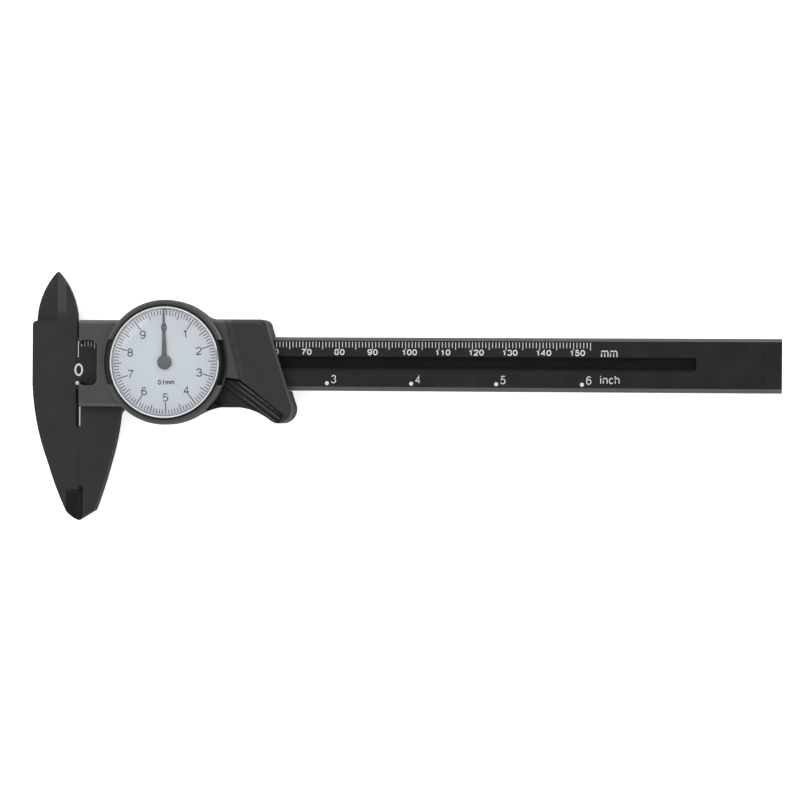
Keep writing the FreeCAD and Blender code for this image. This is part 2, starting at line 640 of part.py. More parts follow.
def end_stop():
    """Block behind the beam's end that stops the slider and keeps the depth rod in its groove."""
    body = new_body("end_stop")
    rectangle(new_sketch(body), "stop_left", "-stop_half", "stop_right", "stop_half")
    pad(body, body.Group[-1], "beam_back")
    soften(body, "Chamfer", "stop_bevel", lambda point: point.z < 0.001)
    holes = new_sketch(body, height="beam_back")
    seats = new_sketch(body, height="head_seat")
    for side in ("", "-"):
        circle(holes, "stop_screw_x", side + "stop_screw_y", "small_screw")
        circle(seats, "stop_screw_x", side + "stop_screw_y", "small_head")
    pocket(body, holes, "beam_back")
    pocket(body, seats, "head_seat")
    return body


def end_stop_screws():
    places = [("stop_screw_x", "stop_screw_y"), ("stop_screw_x", "-stop_screw_y")]
    return screw_group("end_stop_screws", places, "small_screw", "small_head", "head_back",
                       "head_seat", "stop_screw_tip")


# ---------------------------------------------------------------- slider

COVER_SCREWS = [(x_term, side + "cover_screw_y")
                for x_term in ("cover_screw_left", "cover_screw_right") for side in ("", "-")]
ROD_SCREWS = [("rod_screw_left", "0"), ("rod_screw_right", "0")]


def slider_carriage():
    """Back wall, both rails and both moving jaws, one moulding."""
    body = new_body("slider_carriage")
    rectangle(new_sketch(body), "slider_left", "-slider_low_edge", "wall_end", "slider_edge")
    pad(body, body.Group[-1], "channel_floor")
    low_rail = new_sketch(body)
    outline(low_rail, [
        ("slider_left", "-" + RAIL.replace("+", "-")),
        ("slider_left", "-slider_low_edge"),
        ("hollow_x", "-slider_low_edge", "-hollow_radius"),
        ("lobe_x", "-lobe_y", "lobe_radius"),
        ("slider_low_x", "-slider_low_y"),
        ("rail_low_x", "-" + RAIL.replace("+", "-")),
    ])
    pad(body, low_rail, "split_line")
    top_rail = new_sketch(body)
    outline(top_rail, [
        ("slider_left", RAIL),
        ("rail_top_x", RAIL),
        ("slider_slant_x", "slider_slant_y", "slider_corner"),
        ("slider_corner_x", "slider_high_edge"),
        ("flare_right_x", "slider_high_edge"),
        ("flare_right_x - flare_wide", "slider_edge"),
        ("slider_left", "slider_edge"),
    ])
    pad(body, top_rail, "split_line")
    moving_jaws(body)
    gib_pocket = new_sketch(body, height="split_line")
    rectangle(gib_pocket, "gib_start", HALF, "gib_end", RAIL + " + gib_depth")
    pocket(body, gib_pocket, "split_line - channel_floor")
    cover_holes = new_sketch(body, height="split_line")
    cover_seats = new_sketch(body, height="head_seat_large")
    for x_term, y_term in COVER_SCREWS:
        circle(cover_holes, x_term, y_term, "cover_screw")
        circle(cover_seats, x_term, y_term, "cover_screw_head")
    pocket(body, cover_holes, "split_line")
    pocket(body, cover_seats, "head_seat_large")
    rod_holes = new_sketch(body, height="channel_floor")
    rod_seats = new_sketch(body, height="head_seat")
    for x_term, y_term in ROD_SCREWS:
        circle(rod_holes, x_term, y_term, "rod_screw")
        circle(rod_seats, x_term, y_term, "small_head")
    pocket(body, rod_holes, "channel_floor")
    pocket(body, rod_seats, "head_seat")
    return body


def moving_jaws(body):
    """Outside jaw in line with the beam, and inside blade that passes behind the fixed one."""
    jaw = new_sketch(body, height="beam_back")
    outline(jaw, [
        ("relief_depth", "-slider_low_edge + 1"),
        ("relief_depth", "-relief_low + relief_depth"),
        ("0", "-relief_low"),
        ("0", "-jaw_tip"),
        ("moving_toe_x", "-moving_toe_y", "moving_curve_low"),
        ("moving_mid_x", "-moving_mid_y", "moving_curve_high"),
        ("moving_top_x", "-moving_top_y", "-moving_flare"),
        ("moving_root_x", "-slider_low_edge"),
        ("moving_root_x", "-slider_low_edge + 1"),
    ])
    pad(body, jaw, JAW_THICK)
    knife_bevel(body, "knife_moving")
    blade = new_sketch(body, height="beam_back")
    outline(blade, [
        ("slider_left + 1", RAIL),
        ("slider_left + 1", "jaw_top"),
        ("-blade_edge", "jaw_top"),
        ("-blade_edge", "blade_tip"),
        ("-blade_edge - tip_width", "blade_tip - tip_drop", "blade_curve"),
        ("-blade_edge - blade_width", "blade_base"),
        ("-blade_edge - blade_width", RAIL),
    ])
    pad(body, blade, "split_plane - blade_gap - beam_back")


def gib_spring():
    """Bowed leaf that takes up the play between the upper rail and the beam."""
    body = new_body("gib_spring")
    wall = RAIL + " + gib_depth"
    leaf = new_sketch(body, height="gib_low")
    outline(leaf, [
        ("gib_start + gib_thick", wall + " - gib_thick", "gib_bow"),
        ("gib_end - gib_thick", wall + " - gib_thick"),
        ("gib_end - gib_thick", wall, "-gib_bow"),
        ("gib_start + gib_thick", wall),
    ])
    pad(body, leaf, "gib_high - gib_low")
    return body


def casing_corners():
    """Plan outline of the cover's plate; its flares and the hollow run into the dial cup."""
    wide = "flare_wide / flare_radius"
    low, high = "-slider_low_edge - flare_rise", "slider_edge + flare_rise"
    right, right_high = f"flare_right_x - flare_reach * {wide}", f"slider_high_edge + flare_rise * {wide}"
    return [
        ("slider_left", "-slider_low_edge"),
        ("flare_low_x", "-slider_low_edge", "-flare_radius"),
        ("flare_low_x + flare_reach", low),
        ("flare_low_x + flare_reach + flare_step_x", low + " - flare_step_y"),
        ("hollow_start_x - flare_step_x", "-hollow_start_y - flare_step_y / 2"),
        ("hollow_start_x", "-hollow_start_y", "-hollow_radius"),
        ("lobe_x", "-lobe_y", "lobe_radius"),
        ("slider_low_x", "-slider_low_y"),
        ("slider_waist_x", "slider_waist_y"),
        ("slider_slant_x", "slider_slant_y", "slider_corner"),
        ("slider_corner_x", "slider_high_edge"),
        ("flare_right_x", "slider_high_edge", "-flare_wide"),
        (right, right_high),
        (right + " - flare_step_x", right_high + " + flare_step_y"),
        ("flare_top_x + flare_reach + flare_step_x", high + " + flare_step_y"),
        ("flare_top_x + flare_reach", high, "-flare_radius"),
        ("flare_top_x", "slider_edge"),
        ("slider_left", "slider_edge"),
    ]


def slider_cover():
    """Front half of the slider's casing, with the dial cup and the reading window."""
    body = new_body("slider_cover")
    outline(new_sketch(body, height="split_line"), casing_corners())
    pad(body, body.Group[-1], "cover_top - split_line")
    top, left = value("cover_top"), value("slider_left")
    edges = (value("slider_edge"), -value("slider_low_edge"))
    soften(body, "Fillet", "cover_round", lambda point: point.z > top - 0.001 and
           (point.x > left + 0.001 or min(abs(point.y - edge) for edge in edges) < 0.001))
    pad_field = new_sketch(body, height="cover_top")
    outline(pad_field, [
        ("valley_low_x", "-lobe_y - 2"),
        ("slider_low_x + 5", "-lobe_y - 2"),
        ("slider_low_x + 5", "slider_high_edge + 1"),
        ("valley_top_x", "slider_high_edge + 1"),
    ])
    pocket(body, pad_field, "pad_drop")
    slope = slanted_profile(body, "valley_top_x", "slider_high_edge + 1", "valley_turn", [
        ("-valley_width", "cover_top"), ("0", "cover_top - pad_drop"), ("0", "cover_top + 1"),
        ("-valley_width", "cover_top + 1")])
    slanted_cut(body, slope)
    cover_window(body)
    grip_room = new_sketch(body, height="cover_top")
    outline(grip_room, [
        ("grip_foot_x", "-lobe_y - 2"),
        ("lobe_x + 2", "-lobe_y - 2"),
        ("grip_end_x", "-grip_end_y"),
        ("grip_bend_x", "-grip_bend_y"),
        ("grip_start_x", "-grip_start_y"),
        ("grip_foot_x", "-grip_start_y"),
    ])
    pocket(body, grip_room, "cover_top - split_line")
    dial_cup(body)
    cover_bores(body)
    return body


def cover_window(body):
    """Reading window, open towards the fixed jaw between two rounded lips."""
    window = new_sketch(body, height="cover_top")
    lip = "slider_left + window_lip"
    outline(window, [
        ("slider_left - 1", "-window_low + window_mouth"),
        (lip, "-window_low + window_mouth", "window_mouth"),
        (lip + " + window_mouth", "-window_low"),
        ("window_right - window_corner", "-window_low", "window_corner"),
        ("window_right", "-window_low + window_corner"),
        ("window_right", "window_top - window_corner", "window_corner"),
        ("window_right - window_corner", "window_top"),
        (lip + " + window_mouth", "window_top", "window_mouth"),
        (lip, "window_top - window_mouth"),
        ("slider_left - 1", "window_top - window_mouth"),
    ])
    pocket(body, window, "cover_top - split_line")
    top, reach = value("cover_top"), value("window_right")
    soften(body, "Fillet", "window_round", lambda point: point.z > top - 0.001 and point.x < reach + 0.001
           and abs(point.y) < value("window_top + 0.1"))


def dial_cup(body):
    """Round cup with a bore, a ledge and a groove for the bezel, open at both sides."""
    cup = new_sketch(body, height="split_line")
    circle(cup, "dial_x", "dial_y", "cup_radius")
    pad(body, cup, "cup_top - split_line")
    top = value("cup_top")
    soften(body, "Chamfer", "cup_bevel", lambda point: point.z > top - 0.001)
    for radius, high, low in (("cup_bore", "cup_top", "cup_ledge"), ("cup_well", "cup_ledge", "cup_floor"),
                              ("ring_groove", "ring_groove_high", "ring_groove_low")):
        pocket(body, circle(new_sketch(body, height=high), "dial_x", "dial_y", radius), f"{high} - {low}")
    openings = new_sketch(body, height="cup_top")
    for side, turn in (("-", "-"), ("+", "")):
        outer, inner = f"dial_x {side} finger_edge", f"dial_x {side} finger_inner"
        low, high = "dial_y - finger_half", "dial_y + finger_half"
        outline(openings, [(inner, low), (outer, low, turn + "finger_curve"), (outer, high), (inner, high)])
    pocket(body, openings, "cup_top - cup_ledge")
    posts = new_sketch(body, height="cup_floor")
    for side in ("+", "-"):
        circle(posts, "dial_x", f"dial_y {side} post_circle", "post_radius")
    pad(body, posts, "plate_low - cup_floor")


def cover_bores(body):
    """Bush bore, movement screw holes and blind holes for the cover screws."""
    pocket(body, circle(new_sketch(body, height="cup_floor"), "dial_x", "dial_y", "bush_radius"),
           "cup_floor - split_line")
    movement = new_sketch(body, height="plate_low")
    for side in ("+", "-"):
        circle(movement, "dial_x", f"dial_y {side} post_circle", "small_screw")
    pocket(body, movement, "plate_low - movement_screw_low")
    blind = new_sketch(body, height="cover_screw_tip")
    for x_term, y_term in COVER_SCREWS[:3]:
        circle(blind, x_term, y_term, "cover_screw")
    pocket(body, blind, "cover_screw_tip - split_line")


def cover_screws():
    return screw_group("cover_screws", COVER_SCREWS, "cover_screw", "cover_screw_head", "head_back",
                       "head_seat_large", "cover_screw_tip")


def thumb_grip():
    """Ribbed insert whose face falls away from the cover towards the hollow edge."""
    body = new_body("thumb_grip")
    plan = new_sketch(body, height="split_line")
    outline(plan, [
        ("grip_foot_x", "-grip_foot_y", "-hollow_radius"),
        ("lobe_x", "-lobe_y", "lobe_radius"),
        ("grip_heel_x", "-grip_heel_y"),
        ("grip_end_x - grip_gap", "-grip_end_y - grip_gap / 2"),
        ("grip_bend_x - grip_gap / 2", "-grip_bend_y - grip_gap"),
        ("grip_start_x", "-grip_start_y - grip_gap"),
        ("grip_start_x - 0.05", "-grip_start_y - 1.5", "-grip_cup_radius"),
        ("grip_foot_x", "-grip_foot_y + grip_foot_height"),
    ])
    pad(body, plan, "grip_high - split_line")
    line = ("grip_bend_x", "-grip_bend_y", "grip_turn")
    slanted_cut(body, slanted_profile(body, *line, [
        ("0", "grip_high"), ("-grip_slope", "grip_high - grip_fall"), ("-grip_slope", "grip_high + 1"),
        ("0", "grip_high + 1")]))
    fall = "grip_fall / grip_slope"
    for rib in range(int(value("rib_count"))):
        near = f"-{rib} * rib_pitch - rib_first"
        floor = f"grip_high - {rib} * rib_pitch * {fall} - rib_first * {fall} - rib_depth"
        slanted_cut(body, slanted_profile(body, *line, [
            (near, floor), (near + " - rib_groove", floor), (near + " - rib_groove", "grip_high + 1"),
            (near, "grip_high + 1")]))
    blind = circle(new_sketch(body, height="cover_screw_tip"), "cover_screw_right", "-cover_screw_y",
                   "cover_screw")
    pocket(body, blind, "cover_screw_tip - split_line")
    return body


def depth_rod():
    """Rod that slides out of the beam's end as the jaws open."""
    body = new_body("depth_rod")
    rectangle(new_sketch(body, height="rod_low"), "rod_start", "-rod_width / 2", "beam_end", "rod_width / 2")
    pad(body, body.Group[-1], "rod_high - rod_low")
    rectangle(new_sketch(body, height="channel_floor"), "rod_start", "-rod_width / 2", "rod_pad_end",
              "rod_width / 2")
    pad(body, body.Group[-1], "rod_low - channel_floor")
    notch = new_sketch(body, height="rod_high")
    rectangle(notch, "beam_end - rod_tip_length", "rod_width / 2 - rod_tip_width", "beam_end + 1",
              "rod_width / 2 + 1")
    pocket(body, notch, "rod_high - rod_low")
    holes = new_sketch(body, height="rod_screw_tip")
    for x_term, y_term in ROD_SCREWS:
        circle(holes, x_term, y_term, "rod_screw")
    pocket(body, holes, "rod_screw_tip - channel_floor")
    return body


def depth_rod_screws():
    return screw_group("depth_rod_screws", ROD_SCREWS, "rod_screw", "small_head", "head_back",
                       "head_seat", "rod_screw_tip")


# ---------------------------------------------------------------- movement

PRESSURE_ANGLE = math.radians(20)


def pinion_pitch_radius():
    return value("pinion_teeth") * value("pitch") / (2 * math.pi)


def bush(label, low, high):
    body = new_body(label, "dial_x", "dial_y")
    inner = "shaft_radius + bearing_gap"
    turned(body, [(inner, low), ("bush_radius", low), ("bush_radius", high), (inner, high)])
    return body


def movement_plate():
    """Bridge on two posts that holds the upper bush."""
    body = new_body("movement_plate", "dial_x", "dial_y")
    end = "post_circle"
    bar = new_sketch(body, height="plate_low")
    outline(bar, [
        ("-plate_width / 2", "-" + end, "plate_width / 2"),
        ("0", "-post_circle - plate_width / 2", "plate_width / 2"),
        ("plate_width / 2", "-" + end),
        ("plate_width / 2", end, "plate_width / 2"),
        ("0", "post_circle + plate_width / 2", "plate_width / 2"),
        ("-plate_width / 2", end),
    ])
    pad(body, bar, "plate_high - plate_low")
    holes = new_sketch(body, height="plate_high")
    circle(holes, "0", "0", "bush_radius")
    for side in ("", "-"):
        circle(holes, "0", side + "post_circle", "small_screw")
    pocket(body, holes, "plate_high - plate_low")
    return body


def movement_screws():
    """Two slotted screws, driven from the front."""
    solids = []
    for side in (1, -1):
        at = Vector(0, side * value("post_circle"), 0)
        head = Part.makeCylinder(value("movement_screw_head"), value("movement_screw_top - plate_high"),
                                 at + Vector(0, 0, value("plate_high")))
        rod = Part.makeCylinder(value("small_screw"), value("plate_high - movement_screw_low"),
                                at + Vector(0, 0, value("movement_screw_low")))
        slot = Part.makeBox(2 * value("movement_screw_head"), value("screw_slot"), value("screw_slot"))
        slot.translate(at + Vector(-value("movement_screw_head"), -value("screw_slot") / 2,
                                   value("movement_screw_top - screw_slot")))
        solids.append(head.fuse(rod).cut(slot).removeSplitter().Solids[0])
    return solid_feature("movement_screws", Part.makeCompound(solids), "dial_x", "dial_y")


def pinion_shaft():
    body = new_body("pinion_shaft", "dial_x", "dial_y")
    turned(body, [("0", "shaft_low"), ("shaft_radius", "shaft_low"), ("shaft_radius", "shaft_top"),
                  ("0", "shaft_top")])
    return body


def involute(base_radius, radius):
    """Polar angle that an involute has unwound through at the given radius."""
    roll = math.sqrt(max((radius / base_radius) ** 2 - 1, 0.0))
    return roll - math.atan(roll)


def drive_pinion():
    """Pinion of straight involute teeth; one gap faces each rack tooth at rest."""
    teeth = int(value("pinion_teeth"))
    pitch_radius = pinion_pitch_radius()
    base_radius = pitch_radius * math.cos(PRESSURE_ANGLE)
    tip_radius = pitch_radius + value("pinion_tip")
    root_radius = pitch_radius - value("pinion_root")
    half_tooth = (value("pitch") / 2 - value("backlash") / 2) / (2 * pitch_radius)
    at_base = half_tooth + involute(base_radius, pitch_radius)
    radii = [base_radius + (tip_radius - base_radius) * step / 5 for step in range(6)]
    points = []
    for tooth in range(teeth):
        middle = -math.pi / 2 + 2 * math.pi * tooth / teeth
        flank = [(root_radius, at_base)]
        flank += [(radius, at_base - involute(base_radius, radius)) for radius in radii]
        for radius, angle in flank:
            points.append((radius, middle - angle))
        for radius, angle in reversed(flank):
            points.append((radius, middle + angle))
    corners = [(radius * math.cos(angle), radius * math.sin(angle)) for radius, angle in points]
    low, high = value("pinion_low"), value("pinion_high")
    bore = Part.makeCylinder(value("shaft_radius"), high - low, Vector(0, 0, low))
    gear = prism(corners, low, high).cut(bore)
    return solid_feature("drive_pinion", gear, "dial_x", "dial_y")


def pointer_needle():
    """Tapered hand with a round eye."""
    body = new_body("pointer_needle", "dial_x", "dial_y")
    bind(body, "Placement.Rotation.Angle", "rest_turn")
    eye = circle(new_sketch(body, height="needle_low"), "0", "0", "needle_ring")
    pad(body, eye, "needle_thick")
    hand = new_sketch(body, height="needle_low")
    outline(hand, [("-needle_root", "0"), ("needle_root", "0"),
                   ("needle_point", "needle_reach - needle_point"),
                   ("0", "needle_reach"), ("-needle_point", "needle_reach - needle_point")])
    pad(body, hand, "needle_thick")
    pocket(body, circle(new_sketch(body, height="needle_low + needle_thick"), "0", "0", "shaft_radius"),
           "needle_thick")
    return body


def pointer_hub():
    """Cap pressed on the shaft over the hand."""
    body = new_body("pointer_hub", "dial_x", "dial_y")
    low = "needle_low + needle_thick"
    turned(body, [("shaft_radius", low), ("hub_radius", low), ("hub_radius", "hub_top - hub_round"),
                  ("hub_radius - hub_round", "hub_top"), ("0", "hub_top"), ("0", "shaft_top"),
                  ("shaft_radius", "shaft_top")])
    return body


# ---------------------------------------------------------------- bezel

def bezel_ring():
    """Turning ring with a knurled edge."""
    body = new_body("bezel_ring", "dial_x", "dial_y")
    turned(body, [
        ("bezel_seat", "bezel_low"),
        ("bezel_radius", "bezel_low"),
        ("bezel_radius", "ring_groove_low"),
        ("bezel_neck", "ring_groove_low"),
        ("bezel_neck", "ring_groove_high"),
        ("bezel_radius", "ring_groove_high"),
        ("bezel_radius", "bezel_high - bezel_edge"),
        ("bezel_radius - bezel_edge", "bezel_high"),
        ("bezel_bore", "bezel_high"),
        ("bezel_bore", "keeper_slot"),
        ("keeper_groove", "keeper_slot"),
        ("keeper_groove", "keeper_low"),
        ("bezel_bore", "keeper_low"),
        ("bezel_bore", "dial_back"),
        ("bezel_seat", "dial_back"),
    ])
    doc.recompute()
    notch = circle(new_sketch(body, height="bezel_high"), "bezel_radius", "0", "knurl_radius")
    cut = pocket(body, notch, "bezel_high - knurl_low")
    knurl = body.newObject("PartDesign::PolarPattern", "bezel_knurl")
    knurl.Originals = [cut]
    knurl.Axis = (notch, ["N_Axis"])
    knurl.Angle = 360
    bind(knurl, "Occurrences", "knurl_count")
    body.Tip = knurl
    return body


def spring_ring(label, inner, outer, low, high, gap_at):
    """Open ring of flat wire; gap_at is the direction of its gap in degrees."""
    body = new_body(label, "dial_x", "dial_y")
    turned(body, [(inner, low), (outer, low), (outer, high), (inner, high)])
    half = value("ring_opening") / 2
    reach = value(outer) + 1
    gap = new_sketch(body, height=high)
    corners = [Vector(0, 0, 0)]
    for angle in (gap_at - half, gap_at + half):
        turn = math.radians(angle)
        corners.append(Vector(reach * math.cos(turn), reach * math.sin(turn), 0))
    for index in range(3):
        gap.addGeometry(Part.LineSegment(corners[index], corners[(index + 1) % 3]))
    for index in range(3):
        gap.addConstraint(Sketcher.Constraint("Coincident", index, 2, (index + 1) % 3, 1))
        gap.addConstraint(Sketcher.Constraint("Block", index))
    pocket(body, gap, f"{high} - {low}")
    return body


def dial_plate():
    body = new_body("dial_plate", "dial_x", "dial_y")
    turned(body, [
        ("dial_bore", "dial_back"),
        ("dial_radius", "dial_back"),
        ("dial_radius", "dial_front - dial_step"),
        ("dial_step_radius", "dial_front - dial_step"),
        ("dial_step_radius - dial_step", "dial_front"),
        ("dial_bore", "dial_front"),
    ])
    return body


def crystal():
    """Clear domed cover with a short skirt that stands on the dial plate."""
    body = new_body("crystal", "dial_x", "dial_y")
    turned(body, [
        ("0", "crystal_top - crystal_wall"),
        ("0", "crystal_top", "-axis"),
        ("crystal_dome", "crystal_rim"),
        ("crystal_radius", "crystal_rim"),
        ("crystal_radius", "dial_front"),
        ("crystal_inner", "dial_front"),
        ("crystal_inner", "crystal_inside", "axis"),
    ])
    return body


# ---------------------------------------------------------------- build and export

parts = [
    main_beam(),
    rack(),
    end_stop(),
    end_stop_screws(),
    slider_carriage(),
    slider_cover(),
    cover_screws(),
    thumb_grip(),
    gib_spring(),
    depth_rod(),
    depth_rod_screws(),
    bush("lower_bush", "split_line", "cup_floor"),
    bush("upper_bush", "plate_low", "plate_high"),
    movement_plate(),
    movement_screws(),
    spring_ring("bezel_snap_ring", "snap_inner", "snap_outer", "snap_low", "snap_high", 90),
    pinion_shaft(),
    drive_pinion(),
    pointer_needle(),
    pointer_hub(),
    bezel_ring(),
    dial_plate(),
    crystal(),
    spring_ring("crystal_retaining_ring", "keeper_inner", "keeper_outer", "keeper_low", "keeper_high", 8),
]
doc.recompute()

for item in doc.Objects:
    if "Invalid" in item.State or "Error" in item.State:
        raise RuntimeError(f"{item.Label}: {item.State}")
os.makedirs("parts", exist_ok=True)
for part in parts:
    if part.Shape.isNull() or not part.Shape.isValid() or not part.Shape.Solids:
        raise RuntimeError(f"{part.Label} has no valid solid")
    part.Shape.exportStep(os.path.join("parts", part.Label + ".step"))
    box = part.Shape.BoundBox
    print(f"{part.Label:24s} solids {len(part.Shape.Solids)}  volume {part.Shape.Volume:9.2f}  "
          f"x {box.XMin:8.2f} {box.XMax:8.2f}  y {box.YMin:7.2f} {box.YMax:7.2f}  "
          f"z {box.ZMin:6.2f} {box.ZMax:6.2f}")
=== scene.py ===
import math

import bpy
from mathutils import Matrix, Vector


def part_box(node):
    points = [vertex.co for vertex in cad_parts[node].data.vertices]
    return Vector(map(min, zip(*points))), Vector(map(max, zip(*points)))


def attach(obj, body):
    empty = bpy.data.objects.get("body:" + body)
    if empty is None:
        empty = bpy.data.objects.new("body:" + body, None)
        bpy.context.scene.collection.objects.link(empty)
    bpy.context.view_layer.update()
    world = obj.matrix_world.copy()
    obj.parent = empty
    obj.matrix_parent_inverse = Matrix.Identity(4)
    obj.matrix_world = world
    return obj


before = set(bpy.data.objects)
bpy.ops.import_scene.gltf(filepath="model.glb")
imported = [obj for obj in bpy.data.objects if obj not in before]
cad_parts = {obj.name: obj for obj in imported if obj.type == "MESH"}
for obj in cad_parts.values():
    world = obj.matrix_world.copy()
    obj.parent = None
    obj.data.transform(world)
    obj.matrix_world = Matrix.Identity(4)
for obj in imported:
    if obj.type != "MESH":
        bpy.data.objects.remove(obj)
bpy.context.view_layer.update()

MM = 0.001

# The closed measuring faces, the beam's centre line and the dial axis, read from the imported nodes.
beam_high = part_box("main_beam")[1]
stop_low, stop_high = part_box("end_stop")
dial_low, dial_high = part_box("dial_plate")
BEAM_REACH = 210.9 * MM  # from the measuring faces to the beam's right end
ZERO_X = beam_high.x - BEAM_REACH
LINE_Y = (stop_low.y + stop_high.y) / 2
BEAM_FACE = beam_high.z
DIAL_X = (dial_low.x + dial_high.x) / 2
DIAL_Y = (dial_low.y + dial_high.y) / 2
DIAL_FACE = dial_high.z
REST_TURN = math.radians(1.6)  # the dial as it was left, turned a little off upright
INK = 0.02 * MM  # thickness of the printing
INCH = 25.4  # in mm


# ---------------------------------------------------------------- node helpers

class Shader:
    """A material's node tree, with short calls for the nodes used here. Lengths are in mm."""

    def __init__(self, name):
        self.material = bpy.data.materials.new(name)
        self.material.use_nodes = True
        self.tree = self.material.node_tree
        self.tree.nodes.clear()
        self.out = self.tree.nodes.new("ShaderNodeOutputMaterial")
        self.bsdf = self.tree.nodes.new("ShaderNodeBsdfPrincipled")
        self.link(self.bsdf.outputs[0], self.out.inputs[0])
        texture = self.tree.nodes.new("ShaderNodeTexCoord")
        self.place = texture.outputs["Object"]
        self.mm = self.scaled((1000, 1000, 1000))

    def link(self, start, end):
        self.tree.links.new(start, end)

    def scaled(self, scale, turn=0.0):
        """Place on the surface, scaled along each axis and turned about Z."""
        node = self.tree.nodes.new("ShaderNodeMapping")
        node.inputs["Scale"].default_value = scale
        node.inputs["Rotation"].default_value = (0, 0, turn)
        self.link(self.place, node.inputs["Vector"])
        return node.outputs[0]

    def noise(self, scale, detail=3.0, rough=0.55, vector=None):
        node = self.tree.nodes.new("ShaderNodeTexNoise")
        node.inputs["Scale"].default_value = scale
        node.inputs["Detail"].default_value = detail
        node.inputs["Roughness"].default_value = rough
        self.link(vector or self.mm, node.inputs["Vector"])
        return node.outputs["Fac"]

    def cells(self, scale, vector=None):
        node = self.tree.nodes.new("ShaderNodeTexVoronoi")
        node.inputs["Scale"].default_value = scale
        self.link(vector or self.mm, node.inputs["Vector"])
        return node.outputs["Distance"]

    def math(self, kind, first, second=0.0):
        node = self.tree.nodes.new("ShaderNodeMath")
        node.operation = kind
        for socket, term in zip(node.inputs, (first, second)):
            if isinstance(term, (int, float)):
                socket.default_value = term
            else:
                self.link(term, socket)
        return node.outputs[0]

    def times(self, first, *others):
        """Product of the terms; of masks, where all of them hold."""
        for term in others:
            first = self.math("MULTIPLY", first, term)
        return first

    def plus(self, first, *others):
        for term in others:
            first = self.math("ADD", first, term)
        return first

    def minus(self, first, second):
        return self.math("SUBTRACT", first, second)

    def either(self, first, *others):
        """Largest of the terms; of masks, where any of them holds."""
        for term in others:
            first = self.math("MAXIMUM", first, term)
        return first

    def over(self, term, place):
        """Mask that is 1 where the term lies over a place given in mm."""
        return self.math("GREATER_THAN", term, place * MM)

    def under(self, term, place):
        """Mask that is 1 where the term lies under a place given in mm."""
        return self.math("LESS_THAN", term, place * MM)

    def fade(self, term, start, end):
        """Mask that goes from 1 to 0 between two places given in mm."""
        return self.spread(term, start * MM, end * MM, 1.0, 0.0)

    def rise(self, term, start, end, top=1.0):
        """Mask that goes from 0 to its top between two places given in mm."""
        return self.spread(term, start * MM, end * MM, 0.0, top)

    def spread(self, term, low_in, high_in, low, high):
        """Straight-line map from one range of values to another, held at its ends."""
        node = self.tree.nodes.new("ShaderNodeMapRange")
        for socket, number in zip(list(node.inputs)[1:5], (low_in, high_in, low, high)):
            socket.default_value = number
        self.link(term, node.inputs[0])
        return node.outputs[0]

    def ramp(self, term, *stops):
        """Colour ramp through stops of (place, colour)."""
        node = self.tree.nodes.new("ShaderNodeValToRGB")
        band = node.color_ramp
        while len(band.elements) < len(stops):
            band.elements.new(0.5)
        for element, (place, colour) in zip(band.elements, stops):
            element.position = place
            element.color = (*colour, 1)
        self.link(term, node.inputs[0])
        return node.outputs[0]

    def blend(self, factor, first, second):
        """Mix of two colours: the first at factor 0, the second at factor 1."""
        node = self.tree.nodes.new("ShaderNodeMix")
        node.data_type = "RGBA"
        sockets = (node.inputs[0], node.inputs[6], node.inputs[7])
        for socket, term in zip(sockets, (factor, first, second)):
            if isinstance(term, tuple):
                socket.default_value = (*term, 1)
            elif isinstance(term, (int, float)):
                socket.default_value = term
            else:
                self.link(term, socket)
        return node.outputs[2]

    def edges(self, radius):
        """Rounded-edge normal, and a mask that is 1 along the edges it rounds."""
        bevel = self.tree.nodes.new("ShaderNodeBevel")
        bevel.samples = 4
        bevel.inputs["Radius"].default_value = radius * MM
        geometry = self.tree.nodes.new("ShaderNodeNewGeometry")
        dot = self.tree.nodes.new("ShaderNodeVectorMath")
        dot.operation = "DOT_PRODUCT"
        self.link(bevel.outputs[0], dot.inputs[0])
        self.link(geometry.outputs["Normal"], dot.inputs[1])
        return bevel.outputs[0], self.spread(dot.outputs["Value"], 0.99, 0.8, 0.0, 1.0)

    def facing(self):
        """How far a face looks straight up or down: 1 on flat faces, 0 on walls."""
        geometry = self.tree.nodes.new("ShaderNodeNewGeometry")
        split = self.tree.nodes.new("ShaderNodeSeparateXYZ")
        self.link(geometry.outputs["Normal"], split.inputs[0])
        return self.math("ABSOLUTE", split.outputs["Z"])

    def upright(self):
        """Mask that is 1 on walls and 0 on faces that look up or down."""
        return self.spread(self.facing(), 0.25, 0.6, 1.0, 0.0)

    def tilted(self, low, high):
        """Mask of the slopes whose facing lies between two values."""
        facing = self.facing()
        return self.times(self.math("GREATER_THAN", facing, low), self.math("LESS_THAN", facing, high))

    def between(self, term, low, high, soft=0.05):
        """Mask that is 1 where the term lies between two places given in mm."""
        return self.times(self.rise(term, low, low + soft), self.fade(term, high - soft, high))

    def reach(self):
        """Distance from the dial axis, in metres."""
        dx = self.minus(self.axis("X"), DIAL_X)
        dy = self.minus(self.axis("Y"), DIAL_Y)
        return self.math("SQRT", self.plus(self.times(dx, dx), self.times(dy, dy)))

    def along(self):
        """Distance to the right of the closed measuring faces, in metres."""
        return self.minus(self.axis("X"), ZERO_X)

    def across(self):
        """Distance above the beam's centre line, in metres."""
        return self.minus(self.axis("Y"), LINE_Y)

    def axis(self, name):
        """One coordinate of the place on the surface, in metres."""
        node = self.tree.nodes.new("ShaderNodeSeparateXYZ")
        self.link(self.place, node.inputs[0])
        return node.outputs[name]

    def bump(self, height, depth, normal=None):
        """Normal bent by a height field that is a given number of mm deep."""
        node = self.tree.nodes.new("ShaderNodeBump")
        node.inputs["Distance"].default_value = depth * MM
        self.link(height, node.inputs["Height"])
        if normal is not None:
            self.link(normal, node.inputs["Normal"])
        return node.outputs[0]

